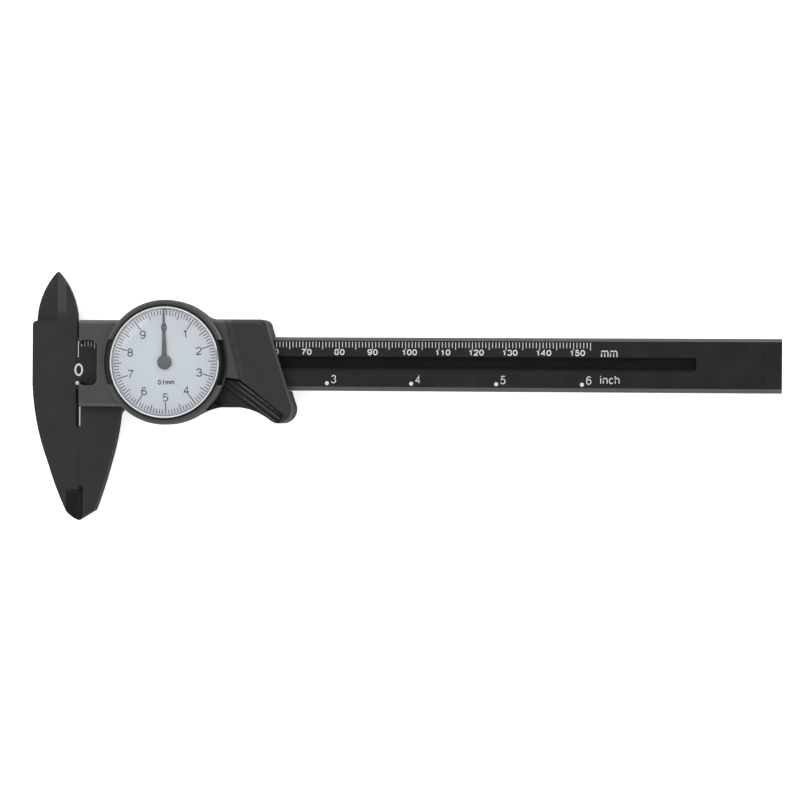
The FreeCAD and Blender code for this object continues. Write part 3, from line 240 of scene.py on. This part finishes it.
    def paint(self, mask, share, colour, level):
        """The colour, covered with a grey where the mask holds."""
        return self.blend(self.times(mask, share), colour, grey(level))

    def finish(self, colour, roughness, normal, **constants):
        """The material, with the surface's colour, roughness and bump and the shader's own constants."""
        for name, term in (("Base Color", colour), ("Roughness", roughness), ("Normal", normal)):
            if isinstance(term, (int, float)):
                self.bsdf.inputs[name].default_value = term
            elif term is not None:
                self.link(term, self.bsdf.inputs[name])
        for name, number in constants.items():
            self.bsdf.inputs[name.replace("_", " ")].default_value = number
        return self.material


def grey(level, tint=(1.0, 1.0, 1.0)):
    """A neutral colour, or a tinted one."""
    return tuple(level * part for part in tint)


def plastic(name, dark, light, rough, grain, depth, edge=0.12, wear=1.6, specular=0.35, streak=0.0):
    """Moulded plastic: fine spark-eroded grain, cloudy flow marks, faint rub marks and worn edges.

    Walls are rougher than the faces that look up, as they come from the mould, and their colour is darker as
    painted shade.
    Returns the shader with its colour, roughness and normal, so that a finish can paint zones on them.
    """
    wall_shade_tone, wall_rough = dark * 0.3, 0.9
    worn_tone = light * wear + 0.004
    s = Shader(name)
    fine = s.noise(grain, 4.0, 0.65)
    cloud = s.noise(0.16, 3.0, 0.5)
    rub = s.noise(1.0, 2.0, 0.5, s.scaled((60, 2600, 900), 0.04))
    mixed = s.plus(s.times(fine, 0.55), s.times(cloud, 0.45))
    base = s.ramp(mixed, (0.32, grey(dark)), (0.72, grey(light)))
    normal, mask = s.edges(edge)
    worn = s.times(mask, s.spread(s.noise(1.7, 3.0), 0.35, 0.65, 0.35, 1.0))
    wall = s.upright()
    # painted shade: walls are painted darker than the faces that look up
    colour = s.paint(wall, 0.7, base, wall_shade_tone)
    colour = s.blend(worn, colour, grey(worn_tone))
    shine = s.spread(cloud, 0.3, 0.7, rough - 0.04, rough + 0.05)
    shine = s.minus(shine, s.times(s.spread(rub, 0.62, 0.78, 0.0, 0.1), streak))
    shine = s.plus(shine, s.times(wall, wall_rough - rough))
    height = s.plus(fine, s.times(rub, 0.25 * streak))
    return s, colour, shine, s.bump(height, depth, normal), {"Specular_IOR_Level": specular}


def metal(name, tone, tint, rough, brushed=(1000, 1000, 1000), depth=0.006):
    """Machined or stamped metal with a brushed or turned finish."""
    s = Shader(name)
    lines = s.noise(2.2, 4.0, 0.6, s.scaled(brushed))
    cloud = s.noise(0.5, 2.0)
    mixed = s.plus(s.times(lines, 0.6), s.times(cloud, 0.4))
    colour = s.ramp(mixed, (0.3, grey(tone * 0.82, tint)), (0.7, grey(tone * 1.08, tint)))
    normal, mask = s.edges(0.06)
    shine = s.spread(lines, 0.3, 0.7, rough - 0.06, rough + 0.08)
    return s.finish(colour, shine, s.bump(lines, depth, normal), Metallic=1.0)


# ---------------------------------------------------------------- finishes

def moulded_black():
    """Beam and carriage: paler jaws, painted highlight on the beam's bevels, painted shade in the groove and
    between the jaws, and smooth bevels along the jaws' tips painted dark as painted shade.
    """
    s, colour, shine, normal, fixed = plastic("moulded_black", 0.005, 0.010, 0.42, 5.0, 0.012, streak=1.0,
                                              specular=0.3)
    x, y, z = s.along(), s.across(), s.axis("Z")
    half_beam, jaw_edge = 8.3, -0.7
    fixed_tip, moving_tip, jaw_seam_top = -39.6, -37.6, -19.75
    groove_low, groove_high, groove_start, groove_end = -2.45, 2.36, 19.95, 186.05
    groove_top, groove_floor = BEAM_FACE / MM - 0.3, BEAM_FACE / MM - 2.0

    jaws = s.either(s.minus(1.0, s.between(y, -half_beam, half_beam, 0.3)),
                    s.fade(x, jaw_edge - 0.3, jaw_edge))
    colour = s.paint(jaws, 0.58, colour, 0.022)
    # painted highlight: the sloped bevels along the beam's edges are painted paler
    bevels = s.times(s.tilted(0.6, 0.97), s.over(x, 0.1), s.between(y, -8.2, 8.2, 0.01))
    colour = s.paint(bevels, 0.9, colour, 0.07)
    # painted shade: the recess of the rack groove is painted near black
    groove = s.times(s.between(y, groove_low, groove_high, 0.01),
                     s.between(x, groove_start, groove_end, 0.01),
                     s.under(z, groove_top), s.over(z, groove_floor))
    front = s.over(z, 3.0)
    # painted shade: the knife bevels at the jaws' tips are painted near black; the fixed one is also made
    # smoother, the moving one rougher
    fixed_edge = s.times(s.between(x, -3.75, 0.01, 0.3), s.fade(y, fixed_tip, fixed_tip + 1.6), front)
    moving_edge = s.times(s.between(x, -0.01, 1.9, 0.3), s.fade(y, moving_tip, moving_tip + 1.3), front)
    # painted shade: a dark line in the gap between the closed jaws
    seam = s.times(s.between(x, -0.12, 0.12, 0.06), s.under(y, jaw_seam_top))
    colour = s.paint(s.either(fixed_edge, seam, groove), 0.85, colour, 0.0015)
    colour = s.paint(moving_edge, 0.95, colour, 0.001)
    shine = s.minus(shine, s.times(fixed_edge, 0.12))
    shine = s.plus(shine, s.times(s.either(moving_edge, groove), 0.5))
    return s.finish(colour, shine, normal, **fixed)


def cover_grey():
    """Cover: satin frame with a painted highlight on its rounded edges and along its top edge, painted shade
    in the valley and in the well round the dial, and a finely pebbled pad beside the dial.
    """
    s, colour, shine, normal, fixed = plastic("cover_grey", 0.042, 0.055, 0.38, 4.0, 0.010, edge=0.15,
                                              wear=1.35)
    x, y, z = s.along(), s.across(), s.axis("Z")
    casing_low, casing_top, cup_top = 8.5, 9.2, 11.1
    pad_lean = 0.25  # the pad's left edge leans this much to the left for each mm up
    pad_start, well_edge = 50.2, 18.15

    right = s.times(s.over(x, 45.5), s.over(z, casing_low), s.under(z, casing_top))
    leaning = s.plus(x, s.times(y, pad_lean))
    pad_area = s.times(right, s.rise(leaning, pad_start, pad_start + 0.6))
    # painted shade: the sloped valley beside the pad is painted darker
    valley = s.times(right, s.between(leaning, pad_start - 1.8, pad_start + 0.7, 0.8),
                     s.spread(s.noise(0.7), 0.3, 0.6, 0.6, 1.0))
    # painted highlight: a paler band along the cover's top edge beside the pad
    brim = s.times(s.rise(x, 44.0, 47.0), s.under(x, 57.0), s.rise(y, 11.7, 12.7))
    slope = s.times(right, s.between(leaning, 46.0, 52.2, 0.1))
    # painted highlight: the cover's rounded edges are painted paler
    round_edge = s.times(s.tilted(0.35, 0.985), s.under(z, casing_top), s.minus(1.0, slope))
    # painted shade: the recess round the dial, under the cup's top, is painted near black
    well = s.times(s.fade(s.reach(), well_edge, well_edge + 0.1), s.under(z, cup_top))
    pebble = s.cells(2.6)
    pad = s.ramp(s.plus(pebble, s.times(s.noise(0.2), 0.2)), (0.2, grey(0.009)), (0.9, grey(0.018)))
    colour = s.blend(pad_area, colour, pad)
    colour = s.paint(valley, 0.8, colour, 0.005)
    colour = s.paint(brim, 0.6, colour, 0.06)
    colour = s.paint(round_edge, 0.35, colour, 0.085)
    colour = s.paint(well, 0.9, colour, 0.002)
    shine = s.plus(shine, s.times(s.either(pad_area, valley), 0.14), s.times(well, 0.3))
    return s.finish(colour, shine, s.bump(s.times(pad_area, pebble), 0.03, normal), **fixed)


def grip_black():
    """Thumb grip: painted shade in the grooves between ribs and a painted highlight along the upper edge and
    ridges, plain towards the dial.
    """
    s, colour, shine, normal, fixed = plastic("grip_black", 0.006, 0.012, 0.55, 3.0, 0.02, edge=0.09,
                                              specular=0.26)
    # The grip's upper edge starts at a corner beside the dial and runs down to the right.
    corner_x, corner_y, slant_x, slant_y = 50.3, -4.75, 0.5948, 0.8039
    brim_width, rib_pitch, groove_width, ridge_width, ribs_end = 1.3, 1.5, 0.7, 0.35, 5.1
    x = s.minus(s.axis("X"), ZERO_X + corner_x * MM)
    y = s.minus(s.axis("Y"), LINE_Y + corner_y * MM)
    below = s.minus(s.times(x, -slant_x), s.times(y, slant_y))
    ribbed = s.times(s.rise(x, -1.0, 1.5), s.over(s.axis("Z"), 6.2))
    phase = s.math("MODULO", s.minus(below, brim_width * MM), rib_pitch * MM)
    rows = s.between(below, brim_width, ribs_end, 0.01)
    grooves = s.times(rows, s.under(phase, groove_width))
    ridges = s.times(rows, s.between(phase, groove_width, groove_width + ridge_width, 0.05))
    brim = s.between(below, 0.6, 1.15, 0.15)
    # painted shade: the grooves between the ribs are painted near black
    colour = s.blend(s.times(grooves, s.times(ribbed, 0.8)), colour, grey(0.002))
    # painted highlight: the grip's upper edge and ridges are painted paler, broken up by noise
    ridge_highlight = s.times(s.plus(brim, s.times(ridges, 0.5)), ribbed, s.spread(s.noise(0.9), 0.35, 0.6, 0.35, 1.0))
    return s.finish(s.blend(ridge_highlight, colour, grey(0.13)), shine, normal, **fixed)


def plain_plastic(name, dark, light, rough, grain, depth, specular):
    """Plastic or paint with no zones of its own, on small parts with fine edges."""
    s, colour, shine, normal, fixed = plastic(name, dark, light, rough, grain, depth, edge=0.05,
                                              specular=specular)
    return s.finish(colour, shine, normal, **fixed)


def bezel_black():
    """Turning bezel: glossy inner lip, matt knurled rim whose colour is darker as painted shade."""
    s, colour, shine, normal, fixed = plastic("bezel_black", 0.010, 0.016, 0.25, 5.0, 0.004, edge=0.04,
                                              wear=0.6, specular=0.4)
    lip_edge = 16.9
    # painted shade: the knurled rim is painted darker, and made rougher
    rim = s.rise(s.reach(), lip_edge, lip_edge + 0.1)
    return s.finish(s.paint(rim, 0.85, colour, 0.003), s.plus(shine, s.times(rim, 0.6)), normal, **fixed)


def dial_white():
    """Printed plate: cool white paint, a pale grey margin, slight orange peel."""
    s = Shader("dial_white")
    middle_end, print_end = 8.0, 15.6
    reach = s.reach()
    peel = s.noise(3.0, 3.0)
    mixed = s.plus(s.times(peel, 0.5), s.times(s.noise(0.3), 0.5))
    face = s.ramp(mixed, (0.3, (0.86, 0.91, 0.96)), (0.7, (0.90, 0.95, 1.0)))
    outer = s.blend(s.rise(reach, middle_end, print_end, 0.5), face, (0.86, 0.87, 0.97))
    colour = s.blend(s.rise(reach, print_end + 0.1, print_end + 0.3), outer, (0.84, 0.86, 0.88))
    return s.finish(colour, s.spread(peel, 0.3, 0.7, 0.4, 0.5), s.bump(peel, 0.004))


def crystal_clear():
    """Clear acrylic, with faint hazy wipe marks."""
    s = Shader("crystal_clear")
    haze = s.noise(0.8, 4.0, 0.6, s.scaled((400, 1400, 1000), 0.5))
    colour = s.ramp(haze, (0.3, (0.97, 0.98, 0.99)), (0.8, (0.99, 1.0, 1.0)))
    return s.finish(colour, s.spread(haze, 0.5, 0.8, 0.0, 0.035), s.bump(haze, 0.0008),
                    Transmission_Weight=1.0, IOR=1.49)


def ink(name, dark, light):
    """Screen-printed ink: slightly uneven cover over the plastic's grain."""
    s = Shader(name)
    grain = s.noise(6.0, 4.0, 0.7)
    colour = s.ramp(grain, (0.3, dark), (0.62, light))
    return s.finish(colour, s.spread(grain, 0.3, 0.7, 0.42, 0.58), s.bump(grain, 0.006))


FINISHES = {
    "moulded_black": moulded_black(),
    "cover_grey": cover_grey(),
    "grip_black": grip_black(),
    "rack_black": plain_plastic("rack_black", 0.003, 0.006, 0.6, 6.0, 0.008, 0.25),
    "screw_steel": metal("screw_steel", 0.55, (1.0, 0.99, 0.97), 0.3),
    "spring_steel": metal("spring_steel", 0.5, (1.0, 1.0, 1.0), 0.25, (200, 1600, 1600)),
    "rod_steel": metal("rod_steel", 0.55, (1.0, 0.99, 0.98), 0.28, (60, 1600, 1600)),
    "shaft_steel": metal("shaft_steel", 0.6, (1.0, 1.0, 1.0), 0.22, (1200, 1200, 5000)),
    "brass": metal("brass", 0.7, (1.0, 0.78, 0.42), 0.3),
    "pointer_grey": plain_plastic("pointer_grey", 0.15, 0.19, 0.4, 6.0, 0.004, 0.4),
    "bezel_black": bezel_black(),
    "dial_white": dial_white(),
    "crystal_clear": crystal_clear(),
}
WHITE_INK = ink("white_ink", (0.40, 0.40, 0.41), (0.62, 0.62, 0.62))
BLACK_INK = ink("black_ink", (0.035, 0.034, 0.04), (0.06, 0.058, 0.07))
GREY_INK = ink("grey_ink", (0.19, 0.19, 0.20), (0.25, 0.25, 0.26))
BLACKENED_STEEL = metal("blackened_steel", 0.03, (1.0, 1.0, 1.0), 0.45)
BLACKENED_NODES = ("end_stop_screws", "bezel_snap_ring")

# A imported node's first material is named after its slot in the record.
for name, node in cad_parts.items():
    finish = BLACKENED_STEEL if name in BLACKENED_NODES else FINISHES[node.data.materials[0].name]
    for place in range(len(node.data.materials)):
        node.data.materials[place] = finish


# ---------------------------------------------------------------- printing

def bow(x, y, wide, high, start, end, steps=14):
    """Points along part of an oval, with angles in degrees."""
    turns = [math.radians(start + (end - start) * step / steps) for step in range(steps + 1)]
    return [(x + wide * math.cos(turn), y + high * math.sin(turn)) for turn in turns]


# Strokes of each character, in a box one unit wide and one unit high. Closed loops end where they start.
LOOP = bow(0.5, 0.5, 0.5, 0.5, 90, 450, 32)
SIX_HOOK = bow(0.5, 0.72, 0.48, 0.28, 30, 90, 6) + bow(0.5, 0.5, 0.5, 0.5, 90, 180, 10)[1:]
SIX = [SIX_HOOK, bow(0.5, 0.31, 0.5, 0.31, 180, 540, 28)]
STEM = [(0.0, 0.0), (0.0, 0.72)]
SHOULDER = [(0.0, 0.4)] + bow(0.5, 0.4, 0.5, 0.32, 170, 0) + [(1.0, 0.0)]
STROKES = {
    "0": [LOOP],
    "1": [[(0.62, 0.0), (0.62, 1.0)], [(0.18, 0.74), (0.36, 0.78), (0.5, 0.87), (0.56, 0.99)]],
    "2": [bow(0.5, 0.7, 0.48, 0.3, 172, -22) + [(0.72, 0.42), (0.3, 0.22), (0.06, 0.0), (1.0, 0.0)]],
    "3": [bow(0.5, 0.755, 0.44, 0.245, 165, -62) + [(0.42, 0.535)],
          [(0.42, 0.535)] + bow(0.48, 0.27, 0.52, 0.27, 62, -165)],
    "4": [[(0.72, 0.0), (0.72, 1.0), (0.0, 0.29), (1.0, 0.29)]],
    "5": [[(0.93, 1.0), (0.2, 1.0), (0.1, 0.5)] + bow(0.48, 0.32, 0.52, 0.32, 128, -158, 18)],
    "6": SIX,
    "7": [[(0.0, 1.0), (1.0, 1.0), (0.66, 0.62), (0.46, 0.32), (0.37, 0.0)]],
    "8": [bow(0.5, 0.765, 0.43, 0.235, 90, 450, 26), bow(0.5, 0.265, 0.5, 0.265, 90, 450, 26)],
    "9": [[(1 - x, 1 - y) for x, y in stroke] for stroke in SIX],
    "m": [STEM,
          [(0.0, 0.4)] + bow(0.25, 0.45, 0.25, 0.27, 170, 0) + [(0.5, 0.0)],
          [(0.5, 0.4)] + bow(0.75, 0.45, 0.25, 0.27, 170, 0) + [(1.0, 0.0)]],
    "n": [STEM, SHOULDER],
    "h": [[(0.0, 0.0), (0.0, 1.0)], SHOULDER],
    "i": [[(0.5, 0.0), (0.5, 0.72)], [(0.5, 0.9), (0.5, 1.02)]],
    "c": [bow(0.5, 0.36, 0.5, 0.36, 40, 320, 24)],
    ".": [[(0.5, -0.02), (0.5, 0.1)]],
}


class Print:
    """A piece of screen printing: strokes, discs and characters of ink on one flat face."""

    def __init__(self, origin, turn=0.0, thick=INK):
        self.origin, self.turn, self.thick = origin, turn, thick
        self.verts, self.faces = [], []

    def add(self, verts, faces):
        """Corners in mm on the face, with their third number 0 on it and 1 at the ink's top."""
        start = len(self.verts)
        for across, up, level in verts:
            x = across * math.cos(self.turn) - up * math.sin(self.turn)
            y = across * math.sin(self.turn) + up * math.cos(self.turn)
            self.verts.append(self.origin + Vector((x * MM, y * MM, level * self.thick)))
        self.faces += [[start + index for index in face] for face in faces]

    def shape(self, corners):
        """Flat patch of ink over a convex outline given anticlockwise."""
        count = len(corners)
        verts = [(x, y, level) for level in (0.0, 1.0) for x, y in corners]
        faces = [list(range(count))[::-1], list(range(count, 2 * count))]
        for first in range(count):
            second = (first + 1) % count
            faces.append([first, second, count + second, count + first])
        self.add(verts, faces)

    def stroke(self, start, end, width):
        """Straight mark with its corners cut off a little, as the ink runs."""
        start, end = Vector(start), Vector(end)
        along = (end - start).normalized()
        side = Vector((-along.y, along.x)) * width / 2
        tip = along * width * 0.2
        corners = (end - side - tip, end - side * 0.7, end + side * 0.7, end + side - tip,
                   start + side + tip, start + side * 0.7, start - side * 0.7, start - side + tip)
        self.shape([tuple(corner) for corner in corners])

    def disc(self, x, y, radius, sides=40):
        turns = [2 * math.pi * side / sides for side in range(sides)]
        self.shape([(x + radius * math.cos(turn), y + radius * math.sin(turn)) for turn in turns])

    def ribbon(self, points, width):
        """Line of constant width through the points, closed if it ends where it starts."""
        spots = [Vector(point) for point in points]
        closed = (spots[0] - spots[-1]).length < 0.001
        spots = spots[:-1] if closed else spots
        count = len(spots)
        rims = []
        for index, spot in enumerate(spots):
            last = spots[index - 1] if closed or index else None
            following = spots[(index + 1) % count] if closed or index + 1 < count else None
            ways = [(spot - last).normalized()] if last is not None else []
            ways += [(following - spot).normalized()] if following is not None else []
            along = sum(ways, Vector((0, 0))).normalized()
            side = Vector((-along.y, along.x)) * width / 2 / max(along.dot(ways[0]), 0.45)
            rims.append((spot + side, spot - side))
        verts = [(point.x, point.y, high) for rim in rims for high in (0.0, 1.0) for point in rim]
        faces = [] if closed else [[0, 1, 3, 2], [4 * count - 3, 4 * count - 4, 4 * count - 2, 4 * count - 1]]
        for index in range(count if closed else count - 1):
            a, b = 4 * index, 4 * ((index + 1) % count)
            faces += [[a + 2, a + 3, b + 3, b + 2], [a + 1, a, b, b + 1],
                      [a, a + 2, b + 2, b], [a + 3, a + 1, b + 1, b + 3]]
        self.add(verts, faces)

    def write(self, character, x, y, height, wide, width):
        """A character centred at x, y. Its height and its width are measured over the ink."""
        for stroke in STROKES[character]:
            points = [(x + (across - 0.5) * (wide - width), y + (up - 0.5) * (height - width))
                      for across, up in stroke]
            self.ribbon(points, width)

    def piece(self, name, body, material):
        """Makes the printing one visible piece that rides on a body."""
        mesh = bpy.data.meshes.new(name)
        mesh.from_pydata(self.verts, [], self.faces)
        mesh.materials.append(material)
        mesh.update()
        obj = bpy.data.objects.new(name, mesh)
        bpy.context.scene.collection.objects.link(obj)
        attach(obj, body)
        return obj


BEAM_ORIGIN = Vector((ZERO_X, LINE_Y, BEAM_FACE))
FULL_SCALE = 155


def millimetre_scale():
    """Marks along the beam's upper edge with a number at every tenth, and the unit at their end."""
    top, long_low, short_low, wide = 6.67, 4.38, 4.98, 0.2
    ticks = Print(BEAM_ORIGIN)
    for step in range(1, FULL_SCALE + 1):
        ticks.stroke((step, top), (step, long_low if step % 5 == 0 else short_low), wide)
    ticks.stroke((0, 6.5), (0, 1.7), wide)
    ticks.piece("beam_mm_ticks", "beam", WHITE_INK)

    numbers = Print(BEAM_ORIGIN)
    two_digits, three_digits = (-0.78, 0.92), (-0.5, 1.1, 2.72)
    for step in range(10, FULL_SCALE + 1, 10):
        digits = str(step)
        for digit, place in zip(digits, two_digits if len(digits) == 2 else three_digits):
            numbers.write(digit, step + place, 3.61, 1.82, 1.42, 0.33)
    for place in (159.2, 161.85):
        numbers.write("m", place, 3.73, 2.75, 2.2, 0.29)
    numbers.piece("beam_mm_numbers", "beam", WHITE_INK)


def inch_scale():
    """A dot and a number for each inch along the lower edge, the unit, and the large zero beside the jaws."""
    dot, height, line = 0.59, 2.45, 0.27
    marks = Print(BEAM_ORIGIN)
    marks.disc(-0.24, -6.09, dot)
    for inch in range(1, 7):
        marks.disc(INCH * inch + 0.15, -5.72, dot)
        marks.write(str(inch), INCH * inch + 2.15, -4.48, height, 1.55, line)
    unit = (("i", 158.05, 0.3), ("n", 159.4, 1.4), ("c", 161.15, 1.35), ("h", 162.9, 1.4))
    for character, place, wide in unit:
        marks.write(character, place, -4.25, height, wide, line)
    marks.piece("beam_inch_scale", "beam", WHITE_INK)
    zero = Print(BEAM_ORIGIN)
    zero.write("0", 0.15, -2.1, 3.8, 2.65, 0.55)
    zero.piece("beam_zero_mark", "beam", WHITE_INK)


def dial_print():
    """Hundred divisions, the numerals and caption inside them, and the index at the plate's top."""
    origin = Vector((DIAL_X, DIAL_Y, DIAL_FACE))
    divisions, rim = 100, 15.55
    tenth, fifth, single = (12.0, 0.28), (13.2, 0.25), (14.1, 0.22)
    ticks = Print(origin, REST_TURN)
    for step in range(divisions):
        inner, wide = tenth if step % 10 == 0 else fifth if step % 5 == 0 else single
        turn = math.radians(90 - 360 / divisions * step)
        way = Vector((math.cos(turn), math.sin(turn)))
        ticks.stroke(way * inner, way * rim, wide)
    ticks.piece("dial_ticks", "bezel", BLACK_INK)

    numbers = Print(origin, REST_TURN)
    for digit in range(10):
        turn = math.radians(90 - 36 * digit)
        numbers.write(str(digit), 11.0 * math.cos(turn), 10.45 * math.sin(turn) - 0.1, 2.5, 1.75, 0.32)
    caption = (("0", -1.7, 0.9), (".", -1.05, 0.3), ("1", -0.55, 0.8), ("m", 0.75, 1.35), ("m", 2.2, 1.35))
    for character, place, wide in caption:
        numbers.write(character, place, -6.0, 1.5, wide, 0.28)
    numbers.piece("dial_numbers", "bezel", BLACK_INK)

    index = Print(origin)
    index_low, index_high = 15.75, 16.25
    index.shape([(-0.1, index_low), (0.1, index_low), (0.45, index_high), (-0.45, index_high)])
    index.piece("dial_index", "bezel", GREY_INK)


def grip_gap_strip():
    """Dark tongue of the thumb grip, which closes the bottom of the groove beside it."""
    strip = Print(Vector((ZERO_X, LINE_Y, 6.05 * MM)), thick=0.5 * MM)
    strip.shape([(46.1, -4.77), (49.93, -5.42), (50.29, -4.78), (46.1, -4.13)])
    strip.shape([(49.94, -5.43), (63.15, -15.6), (63.8, -15.25), (50.3, -4.79)])
    strip.piece("grip_gap_strip", "slider", FINISHES["grip_black"])


millimetre_scale()
inch_scale()
dial_print()
grip_gap_strip()


# ---------------------------------------------------------------- stage, light and camera

def floor():
    """Pale, faintly mottled light table that runs past every view."""
    s = Shader("pale_floor")
    cloud = s.noise(0.004, 3.0)
    colour = s.ramp(cloud, (0.3, grey(0.93)), (0.7, grey(0.95)))
    s.link(colour, s.bsdf.inputs["Emission Color"])
    finish = s.finish(colour, s.spread(cloud, 0.3, 0.7, 0.85, 0.95), s.bump(s.noise(0.5), 0.01),
                      Specular_IOR_Level=0.1, Emission_Strength=0.6)
    mesh = bpy.data.meshes.new("floor")
    half = 4.0
    low = -0.05 * MM  # clear of the flat back, which would flicker on a floor at its own height
    corners = [(-half, -half, low), (half, -half, low), (half, half, low), (-half, half, low)]
    mesh.from_pydata(corners, [], [[0, 1, 2, 3]])
    mesh.materials.append(finish)
    plane = bpy.data.objects.new("floor", mesh)
    bpy.context.scene.collection.objects.link(plane)


def surround():
    """Soft light tent: dim overhead, bright round the sides, brighter on the left."""
    side_level, right_level = 1.35, 0.45
    world = bpy.data.worlds.new("tent")
    world.use_nodes = True
    tree = world.node_tree
    back = tree.nodes["Background"]
    place = tree.nodes.new("ShaderNodeTexCoord")
    split = tree.nodes.new("ShaderNodeSeparateXYZ")
    ramp = tree.nodes.new("ShaderNodeValToRGB")
    ramp.color_ramp.interpolation = "EASE"
    stops = ((0.0, 1.0), (0.12, side_level), (0.7, side_level), (0.93, 0.4))
    while len(ramp.color_ramp.elements) < len(stops):
        ramp.color_ramp.elements.new(0.5)
    for element, (where, level) in zip(ramp.color_ramp.elements, stops):
        element.position = where
        element.color = (*grey(level / side_level), 1)
    tree.links.new(place.outputs["Generated"], split.inputs[0])
    tree.links.new(split.outputs["Z"], ramp.inputs[0])
    across = tree.nodes.new("ShaderNodeMapRange")
    for socket, number in zip(list(across.inputs)[1:5], (-1.0, 1.0, 1.0, right_level)):
        socket.default_value = number
    tree.links.new(split.outputs["X"], across.inputs[0])
    scale = tree.nodes.new("ShaderNodeVectorMath")
    scale.operation = "SCALE"
    tree.links.new(ramp.outputs[0], scale.inputs[0])
    tree.links.new(across.outputs[0], scale.inputs["Scale"])
    tree.links.new(scale.outputs[0], back.inputs["Color"])
    back.inputs["Strength"].default_value = 1.6
    bpy.context.scene.world = world


def softbox(name, place, aim, size, power):
    """Rectangular area light at a place, turned towards its aim. Metres and watts."""
    light = bpy.data.lights.new(name, "AREA")
    light.shape = "RECTANGLE"
    light.size, light.size_y = size
    light.energy = power
    lamp = bpy.data.objects.new(name, light)
    lamp.location = place
    lamp.rotation_euler = (Vector(aim) - Vector(place)).to_track_quat("-Z", "Y").to_euler()
    bpy.context.scene.collection.objects.link(lamp)


def camera():
    """Long lens almost straight above, a little to the right of the beam's middle."""
    data = bpy.data.cameras.new("camera")
    data.lens = 115.38
    data.sensor_width = 36
    data.clip_start, data.clip_end = 0.01, 20
    view = bpy.data.objects.new("camera", data)
    place = Vector((103.47, -0.57, 762.25)) * MM
    right = Vector((0.99077, 0.00692, -0.13537))
    up = Vector((-0.00686, 1.0, 0.00094))
    back = right.cross(up).normalized()
    up = back.cross(right).normalized()
    view.matrix_world = Matrix.Translation(place) @ Matrix((right, up, back)).transposed().to_4x4()
    bpy.context.scene.collection.objects.link(view)
    bpy.context.scene.camera = view


floor()
surround()
softbox("key", (-0.45, 0.5, 0.55), (0, 0, 0), (0.9, 0.7), 3.5)
softbox("fill", (0.5, -0.5, 0.5), (0, 0, 0), (0.8, 0.6), 2.0)
softbox("strip", (0.42, 0.23, 0.07), (-0.07, 0.01, 0.01), (0.3, 0.12), 1.5)
camera()
bpy.context.scene.view_settings.view_transform = "Standard"

bpy.context.view_layer.update()
